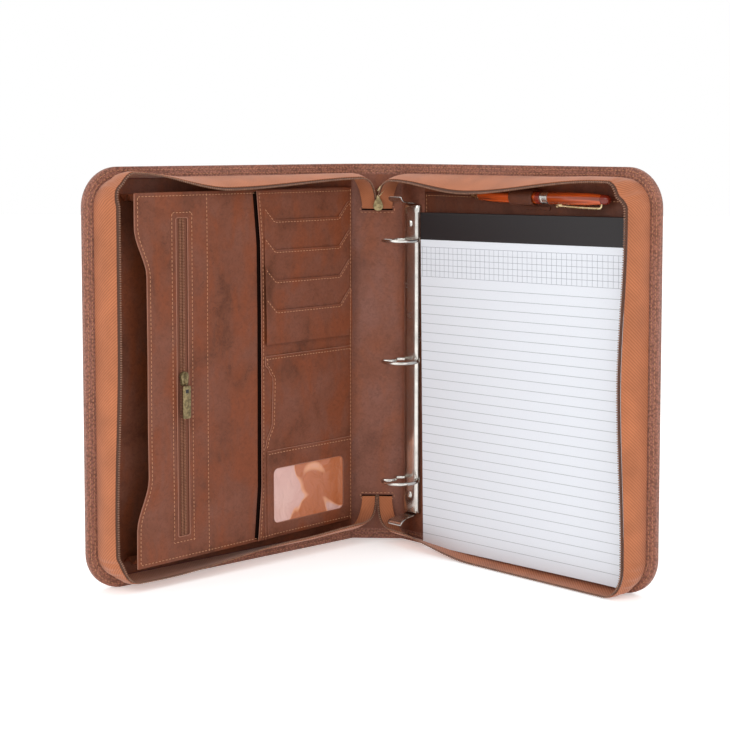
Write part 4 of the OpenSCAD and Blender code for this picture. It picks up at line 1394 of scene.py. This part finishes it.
def make_stitches():
    """Every row of stitches, one piece for each body."""
    sizes = bpy.context.scene.case_sizes
    tree = row_tree("stitches", False)
    size = (sizes.thread_width, sizes.thread_width, sizes.stitch_length)

    def rows(name, body, paths, slot="rim_leather"):
        piece = row_piece(name, tree, paths, sizes.stitch_pitch, size, MATERIALS["thread"])
        dress(piece, None, body, slot)

    upright = np.linspace(4 * MM, CASE_H - 4 * MM, 60)
    for side, label in ((1, "back"), (-1, "front")):
        outside = -COVER_T - 0.08 * MM
        paths = [cover_row(side, inset * MM, 0.08 * MM) for inset in (3.0, 6.6)]
        paths += [cover_row(side, inset * MM, outside) for inset in (4.0, 7.0)]
        paths.append([cover_point(side, 7 * MM, outside, z) for z in upright])
        rows(f"{label}_stitches", f"{label}_cover", paths)
    inset = 3 * MM
    edge = [(leaf_edge(z) - inset, z) for z in np.linspace(LEAF_FOOT + inset, LEAF_TOP - inset, 60)]
    frame_gap = 4.2 * MM
    box = [
        (ZIP_V - ZIP_GAP / 2 - frame_gap, ZIP_FOOT - frame_gap),
        (ZIP_V + ZIP_GAP / 2 + frame_gap, ZIP_FOOT - frame_gap),
        (ZIP_V + ZIP_GAP / 2 + frame_gap, ZIP_TOP + frame_gap),
        (ZIP_V - ZIP_GAP / 2 - frame_gap, ZIP_TOP + frame_gap),
    ]
    sewn = 166 * MM
    paths = [
        leaf_row([(CARD_EDGE, LEAF_FOOT + inset)] + edge + [(CARD_EDGE, LEAF_TOP - inset)]),
        leaf_row([(sewn, LEAF_FOOT + inset), (sewn, LEAF_TOP - inset)]),
        leaf_row(box + box[:1]),
    ]
    above = 0.12 * MM
    for k in range(4):
        top = slot_top(SLOT_TOP_Z - k * SLOT_PITCH)
        line = [(v, top(v) - 2.3 * MM) for v in np.linspace(4 * MM, 103.5 * MM, 60)]
        paths.append(card_line(line, k + 1, PUFF, top, above))
    spread = np.linspace(4 * MM, 103 * MM, 50)
    large = level(LARGE_POCKET_Z)
    paths.append(card_line([(v, LARGE_POCKET_Z - 2.5 * MM) for v in spread], 1, PUFF, large, above))
    line = [(v, ID_POCKET_Z - 2.5 * MM) for v in spread if v < 101 * MM]
    paths.append(card_line(line, 2, ID_PUFF, level(ID_POCKET_Z), above))
    zs = np.linspace(100 * MM, LARGE_POCKET_Z - 3 * MM, 40)
    paths.append(card_line([(thumb_edge(z) - 2.4 * MM, z) for z in zs], 1, PUFF, large, above))
    zs = np.linspace(LEAF_FOOT + 4 * MM, LEAF_TOP - 3.4 * MM, 80)
    line = [(panel_edge(z) - 2.2 * MM, z) for z in zs]
    paths.append(card_line(line, 0, 0.0, FAR_MOUTH, above))
    spread = np.linspace(4 * MM, CARD_W, 50)
    paths.append(card_line([(v, LEAF_TOP - 3.4 * MM) for v in spread], 0, 0.0, FAR_MOUTH, above))
    paths.append(card_line([(v, LEAF_FOOT + 4 * MM) for v in spread], 2, 0.0, FAR_MOUTH, above))
    zs = np.linspace(LEAF_FOOT + 3 * MM, LEAF_TOP - 3 * MM, 100)
    paths.append([leaf_point(1.5 * MM, leaf_height(1.5 * MM, z, 0.2 * MM), z) for z in zs])
    paths.append(card_line([(4.6 * MM, z) for z in zs], 4, 0.0, FAR_MOUTH, above))
    rows("leaf_stitches", "pocket_leaf", paths, "leather")
    half = SPINE_HALF - 1 * MM
    paths = [[Vector((x, INNER_Y - 0.2 * MM, z)) for x in np.linspace(-half, half, 12)]
             for z in (3 * MM, 6.6 * MM, CASE_H - 3 * MM, CASE_H - 6.6 * MM)]
    for z, way in ((SLIT_Z["top"], -1), (SLIT_Z["foot"], 1)):
        outline = rounded(-15.5 * MM, 15.5 * MM, z - 2.6 * MM, z + 2.6 * MM, 2 * MM, 4)
        paths.append([Vector((x, INNER_Y - 0.3 * MM, h)) for x, h in outline + outline[:1]])
    paths += [[Vector((x, -INNER_Y + 0.1 * MM, z)) for z in upright]
              for x in (-SPINE_HALF + 3 * MM, SPINE_HALF - 3 * MM)]
    rows("spine_stitches", "spine", paths)
    height = reach("pad_holder", BACK_FACE, IN)[1] + 0.1 * MM
    left, right = reach("pad_holder", BACK_FACE, OUT)
    low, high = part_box("pad_holder")[0].z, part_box("pad_holder")[1].z
    corners = [(left + 2.5 * MM, low + 3 * MM), (left + 2.5 * MM, high - 2.5 * MM),
               (right - 3 * MM, high - 2.5 * MM), (right - 3 * MM, low + 3 * MM)]
    path = []
    for (x0, z0), (x1, z1) in zip(corners, corners[1:]):
        path += [cover_point(1, x0 + (x1 - x0) * i / 40, height, z0 + (z1 - z0) * i / 40)
                 for i in range(41)]
    rows("holder_stitches", "back_cover", [path], "leather")


# ---- Ring mechanism -------------------------------------------------------------------------


def make_rings():
    """The ring mechanism: arched plate, domed rivets, ring halves and levers."""
    left, right = reach("ring_plate", BACK_FACE, OUT)
    half = (right - left) / 2
    top = reach("ring_plate", BACK_FACE, IN)[1]
    across = [-1.0, -0.97, -0.88, -0.76, -0.6, -0.3, 0.0, 0.3, 0.6, 0.76, 0.88, 0.97, 1.0]
    arch = [0.0, 0.35, 0.68, 0.86, 0.96, 0.995, 1.0, 0.995, 0.96, 0.86, 0.68, 0.35, 0.0]
    levels = dict(zip(across, arch))

    def plate_point(a, z):
        end = min(1.0, (z - PLATE_FOOT) / (3 * MM), (PLATE_TOP - z) / (3 * MM))
        height = 1 * MM + (top - 1 * MM) * levels[a] * (0.75 + 0.25 * end)
        return cover_point(1, RING_X + a * half, height, z)

    rows = sorted(
        list(np.linspace(PLATE_FOOT, PLATE_TOP, 20)) + [PLATE_FOOT + k * MM for k in (0.6, 1.5, 3.0)]
        + [PLATE_TOP - k * MM for k in (0.6, 1.5, 3.0)]
    )
    plate = sheet("mechanism_plate", rows, across, plate_point, 0.9 * MM, 0.25 * MM, offset=-1.0)
    dress(plate, "nickel", "back_cover", "nickel", "ring_plate")
    for name in ("plate_posts", "left_ring_blade", "right_ring_blade"):
        repaint(frame["nodes"][name], "nickel")
    wire = 1.5 * MM
    outer = 16.8 * MM
    centre_h = RING_TOP_H - outer
    radius = outer - wire
    for side, label in ((-1, "left"), (1, "right")):
        paths = []
        for k in (-1, 0, 1):
            z = RING_MIDDLE_Z + k * RING_PITCH
            turns = [math.radians(90 - side * (0.35 + 149 * i / 30)) for i in range(31)]
            path = [
                cover_point(1, RING_X + radius * math.cos(t), centre_h + radius * math.sin(t), z)
                for t in turns
            ]
            path.append(cover_point(1, RING_X + side * radius / 2, 2.1 * MM, z))
            paths.append(path)
        rings = tube(f"{label}_rings", paths, wire, 14)
        dress(rings, "nickel", f"{label}_rings", "nickel", f"{label}_ring_halves")
    for way, label in ((1, "top"), (-1, "bottom")):
        end = PLATE_TOP if way > 0 else PLATE_FOOT
        profile = [(2.6, 0.6), (6, 1.6), (12, 2.0), (18, 2.4), (22, 3.2), (24.4, 4.6), (25.4, 6.4),
                   (25.2, 8.0)]

        def lever_point(a, k, profile=profile, end=end, way=way):
            h, out = profile[int(k)]
            width = (5.6 + 2.6 * min(1.0, k / 4)) * MM
            corner = 1 - 0.12 * (k == len(profile) - 1)
            return cover_point(1, RING_X + a * width * corner, h * MM, end + way * out * MM)

        lever = sheet(f"{label}_thumb_lever", list(range(len(profile))), np.linspace(-1, 1, 9),
                      lever_point, 1.3 * MM, 0.35 * MM, offset=-1.0 * way)
        smooth(lever.data, 60)
        dress(lever, "nickel", f"{label}_ring_lever", "nickel", f"{label}_lever")


# ---- Pad holder, pad and pen ----------------------------------------------------------------


def make_holder():
    """The leather panel that holds the pad's card, and the pen's loop."""
    left, right = reach("pad_holder", BACK_FACE, OUT)
    top = reach("pad_holder", BACK_FACE, IN)[1]
    low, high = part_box("pad_holder")[0].z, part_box("pad_holder")[1].z

    def point(x, z):
        return cover_point(1, x, top + wave((x, z, 2.0), 60 * MM, 4) * 0.1 * MM, z)

    panel = sheet("pad_holder_leather", np.linspace(low, high, 40), np.linspace(left, right, 30),
                  point, top - 0.25 * MM, 0.5 * MM, offset=-1.0)
    dress(panel, "holder", "back_cover", "leather", "pad_holder")
    x0 = reach("pen_loop", BACK_FACE, OUT)[0]
    x1 = x0 + 24 * MM
    ring = PEN_R + 0.5 * MM

    def loop_point(x, turn):
        return cover_point(1, x, PEN_H + math.sin(turn) * ring, PEN_Z + math.cos(turn) * ring)

    loop = sheet("a", np.linspace(0, 2 * math.pi, 37), np.linspace(x0, x1, 8), loop_point,
                 1.1 * MM, 0.3 * MM, offset=-1.0)
    tail_low, tail_high = PEN_Z - 10 * MM, PEN_Z - 7.4 * MM

    def place(a, b, height):
        return cover_point(1, a, height, b)

    teeth = [(x0 + (6 + 2 * i) * MM, tail_low - 0.7 * MM * (i % 2)) for i in range(15)]
    outline = teeth + [(x0 + 34 * MM, tail_high), (x0 + 6 * MM, tail_high)]
    tail = prism("b", outline, place, top + 0.05 * MM, top + 1.0 * MM)
    dress(joined("pen_loop_leather", [loop, tail]), "holder", "back_cover", "leather", "pen_loop")


def pad_point(a, b, height):
    """A point of the pad, (a, b) from its middle. The pad lies slightly askew in its holder."""
    x = PAD_MIDDLE[0] + a * math.cos(PAD_TURN) - b * math.sin(PAD_TURN)
    z = PAD_MIDDLE[1] + a * math.sin(PAD_TURN) + b * math.cos(PAD_TURN)
    return cover_point(1, x, height, z)


def make_pad():
    """The writing pad: card, pages, printed rules and black binding."""
    sizes = bpy.context.scene.case_sizes
    right, high = PAD_SIZE[0] / 2, PAD_SIZE[1] / 2
    left, low = -right, -high
    face = PAD_H[1]
    outline = rounded(left, right, low, high, 0.6 * MM, 2)
    pages = prism("pad_pages", outline, pad_point, PAD_H[0], face)
    dress(pages, "paper", "memo_pad", "paper", "pad_paper")

    def top_page(a, b, above=0.12 * MM):
        side = max(0.0, (a - right + 60 * MM) / (60 * MM))
        foot = max(0.0, (low + 70 * MM - b) / (70 * MM))
        return pad_point(a, b, face + above + 1.2 * MM * (side * foot) ** 2)

    across = np.linspace(left + 0.1 * MM, right - 0.1 * MM, 40)
    strip_foot = high - PAD_STRIP
    page = sheet("pad_top_page", np.linspace(low + 0.2 * MM, strip_foot + 2 * MM, 60), across,
                 top_page, 0.1 * MM, offset=-1.0)
    dress(page, "paper", "memo_pad", "paper")

    def printed(name, material, level, upright, half):
        strips = []
        for b in level:
            strips.append(sheet("rule", (b - half, b + half), across,
                                lambda u, v: top_page(u, v, 0.15 * MM), 0.02 * MM, offset=1.0))
        for a, b0, b1 in upright:
            strips.append(sheet("rule", (b0, b1), (a - half, a + half),
                                lambda u, v: top_page(u, v, 0.15 * MM), 0.02 * MM, offset=1.0))
        dress(joined(name, strips), material, "memo_pad", "paper")

    cell_h, cell_w = 5.2 * MM, 5.1 * MM
    head = strip_foot - 6.5 * MM
    grid_foot = head - 5 * cell_h
    columns = int((right - left - 6 * MM) / cell_w)
    printed("pad_grid", "grid_ink", [head - i * cell_h for i in range(6)],
            [(left + 2 * MM + i * cell_w, grid_foot, head) for i in range(columns + 1)], 0.17 * MM)
    first = grid_foot - 8.6 * MM
    count = int((first - low - 5 * MM) / sizes.rule_pitch) + 1
    rules = [first - i * sizes.rule_pitch for i in range(count)]
    printed("pad_rules", "ink", rules, [], 0.22 * MM)
    profile = [(strip_foot, face + 0.32 * MM), (high - 1.0 * MM, face + 0.34 * MM),
               (high + 0.1 * MM, face + 0.1 * MM), (high + 0.35 * MM, face - 0.8 * MM),
               (high + 0.35 * MM, PAD_H[0] - 0.8 * MM)]

    def strip_point(a, k):
        b, height = profile[int(k)]
        return pad_point(a, b, height)

    strip = sheet("pad_binding", list(range(len(profile))),
                  np.linspace(left - 0.1 * MM, right + 0.1 * MM, 24), strip_point, 0.3 * MM)
    dress(strip, "strip", "memo_pad", "binding_tape", "pad_binding_strip")
    repaint(frame["nodes"]["pad_backing_card"], "card")


def make_pen():
    """The turned rosewood pen with its nickel band, gold clip and tip."""
    start = reach("pen_tip", BACK_FACE, OUT)[0]
    upper = reach("pen_upper_barrel", BACK_FACE, OUT)
    end = reach("pen_finial", BACK_FACE, OUT)[1]
    lower = reach("pen_lower_barrel", BACK_FACE, OUT)
    r = PEN_R

    def place(along, a, b):
        return cover_point(1, along, PEN_H + a, PEN_Z + b)

    def turned(name, material, body, slot, profile, *nodes):
        dress(lathe(name, profile, place), material, body, slot, *nodes)

    turned("pen_point", "gold", "pen_lower", "pen_gold",
           [(start, 1.3 * MM), (start + 1 * MM, 1.7 * MM), (start + 6 * MM, 2.9 * MM),
            (lower[0], 3.6 * MM)],
           "pen_tip")
    x0, x1 = lower
    turned("pen_lower_wood", "wood", "pen_lower", "pen_wood",
           [(x0, 3.5 * MM), (x0 + 6 * MM, 4.1 * MM), (x0 + 16 * MM, 4.8 * MM),
            (x0 + 30 * MM, r - 0.1 * MM), (x0 + 48 * MM, r), (x1 - 4.5 * MM, r - 0.15 * MM),
            (x1 - 4.3 * MM, r - 0.15 * MM)],
           "pen_lower_barrel", "pen_tube")
    turned("pen_red_ring", "red", "pen_lower", "pen_wood",
           [(x1 - 4.3 * MM, r - 0.5 * MM), (x1 - 4.0 * MM, r - 0.05 * MM),
            (x1 - 0.5 * MM, r - 0.05 * MM), (x1 - 0.1 * MM, r - 0.5 * MM)])
    b0, b1 = x1 + 0.2 * MM, upper[0] - 0.1 * MM
    turned("pen_middle_band", "nickel", "pen", "pen_gold",
           [(b0, r - 0.6 * MM), (b0 + 0.5 * MM, r), (b0 + 2 * MM, r), (b0 + 2.3 * MM, r - 0.35 * MM),
            (b0 + 5 * MM, r - 0.35 * MM), (b0 + 5.4 * MM, r), (b1 - 0.4 * MM, r), (b1, r - 0.6 * MM)],
           "pen_band")
    turned("pen_upper_wood", "wood", "pen", "pen_wood",
           [(upper[0], r - 0.3 * MM), (upper[0] + 1 * MM, r - 0.05 * MM), (upper[0] + 20 * MM, r),
            (upper[1] - 14 * MM, r - 0.2 * MM), (upper[1], r - 0.9 * MM)],
           "pen_upper_barrel")
    turned("pen_red_finial", "red", "pen", "pen_wood",
           [(upper[1] + 0.1 * MM, r - 1.0 * MM), (end - 4 * MM, r - 1.2 * MM),
            (end - 1.5 * MM, r - 2.1 * MM), (end - 0.4 * MM, r - 3.4 * MM), (end, 0.8 * MM)],
           "pen_finial")
    low_z = PEN_Z - r
    clip_h = PEN_H + 0.8 * MM
    spring = ((0.0, 1.6), (0.2, -0.4), (1.4, -1.7), (6, -1.9), (24, -1.6), (38, -1.1), (42, -0.9),
              (44.5, -1.5))
    clip_path = [cover_point(1, upper[1] - x * MM, clip_h, z * MM + low_z) for x, z in spring]
    clip = tube("a", [clip_path], 1.1 * MM, 12)

    def ball_place(along, a, b):
        return cover_point(1, upper[1] - 42 * MM + along, clip_h + a, low_z - 0.5 * MM + b)

    bead = [(-3.6, 0.3), (-2.6, 1.1), (0, 1.6), (2.6, 1.3), (3.8, 0.3)]
    ball = lathe("b", [(along * MM, radius * MM) for along, radius in bead], ball_place, 16)
    dress(joined("pen_gold_clip", [clip, ball]), "gold", "pen", "pen_gold", "pen_clip")
    repaint(frame["nodes"]["pen_refill"], "black")


# ---- The add-on -----------------------------------------------------------------------------


class CASE_OT_stage(bpy.types.Operator):
    """Makes the camera, floor and lights"""

    bl_idname = "case.stage"
    bl_label = "Stage"

    def execute(self, context):
        make_camera()
        make_stage()
        return {"FINISHED"}


class CASE_OT_materials(bpy.types.Operator):
    """Makes every leather, cloth, metal, paper and wood"""

    bl_idname = "case.materials"
    bl_label = "Materials"

    def execute(self, context):
        make_materials(context.scene.case_colours)
        return {"FINISHED"}


class CASE_OT_covers(bpy.types.Operator):
    """Makes the covers, the spine and their linings"""

    bl_idname = "case.covers"
    bl_label = "Covers and spine"

    def execute(self, context):
        make_covers()
        return {"FINISHED"}


class CASE_OT_gussets(bpy.types.Operator):
    """Makes the gussets and the main zip"""

    bl_idname = "case.gussets"
    bl_label = "Gussets and main zip"

    def execute(self, context):
        make_gussets()
        make_main_slider()
        return {"FINISHED"}


class CASE_OT_document_pocket(bpy.types.Operator):
    """Makes the document pocket's leaf, its folds and its zip"""

    bl_idname = "case.document_pocket"
    bl_label = "Document pocket"

    def execute(self, context):
        make_leaf()
        make_pocket_zip()
        return {"FINISHED"}


class CASE_OT_card_panel(bpy.types.Operator):
    """Makes the card slots, the large pocket and the identity-card window"""

    bl_idname = "case.card_panel"
    bl_label = "Card panel"

    def execute(self, context):
        make_card_panel()
        return {"FINISHED"}


class CASE_OT_stitches(bpy.types.Operator):
    """Sews every row of stitches"""

    bl_idname = "case.stitches"
    bl_label = "Stitches"

    def execute(self, context):
        make_stitches()
        return {"FINISHED"}


class CASE_OT_rings(bpy.types.Operator):
    """Makes the ring mechanism"""

    bl_idname = "case.rings"
    bl_label = "Ring mechanism"

    def execute(self, context):
        make_rings()
        return {"FINISHED"}


class CASE_OT_pad(bpy.types.Operator):
    """Makes the pad holder, the pen loop and the writing pad"""

    bl_idname = "case.pad"
    bl_label = "Pad and holder"

    def execute(self, context):
        make_holder()
        make_pad()
        return {"FINISHED"}


class CASE_OT_pen(bpy.types.Operator):
    """Makes the pen"""

    bl_idname = "case.pen"
    bl_label = "Pen"

    def execute(self, context):
        make_pen()
        return {"FINISHED"}


OPERATORS = (
    CASE_OT_stage,
    CASE_OT_materials,
    CASE_OT_covers,
    CASE_OT_gussets,
    CASE_OT_document_pocket,
    CASE_OT_card_panel,
    CASE_OT_stitches,
    CASE_OT_rings,
    CASE_OT_pad,
    CASE_OT_pen,
)


class CASE_PT_looks(bpy.types.Panel):
    """Lists the case's pieces, colours and sizes"""

    bl_idname = "CASE_PT_looks"
    bl_label = "Portfolio Case"
    bl_space_type = "VIEW_3D"
    bl_region_type = "UI"
    bl_category = "Portfolio Case"

    def draw(self, context):
        layout = self.layout
        for operator in OPERATORS:
            layout.operator(operator.bl_idname)
        for group in (context.scene.case_colours, context.scene.case_sizes):
            for name in group.__annotations__:
                layout.prop(group, name)


CLASSES = (CaseColours, CaseSizes, *OPERATORS, CASE_PT_looks)


def register():
    for cls in CLASSES:
        bpy.utils.register_class(cls)
    bpy.types.Scene.case_colours = bpy.props.PointerProperty(type=CaseColours)
    bpy.types.Scene.case_sizes = bpy.props.PointerProperty(type=CaseSizes)


def unregister():
    del bpy.types.Scene.case_sizes
    del bpy.types.Scene.case_colours
    for cls in reversed(CLASSES):
        bpy.utils.unregister_class(cls)


def main():
    register()
    for operator in OPERATORS:
        getattr(bpy.ops.case, operator.bl_idname.split(".")[1])()


if __name__ == "__main__":
    main()
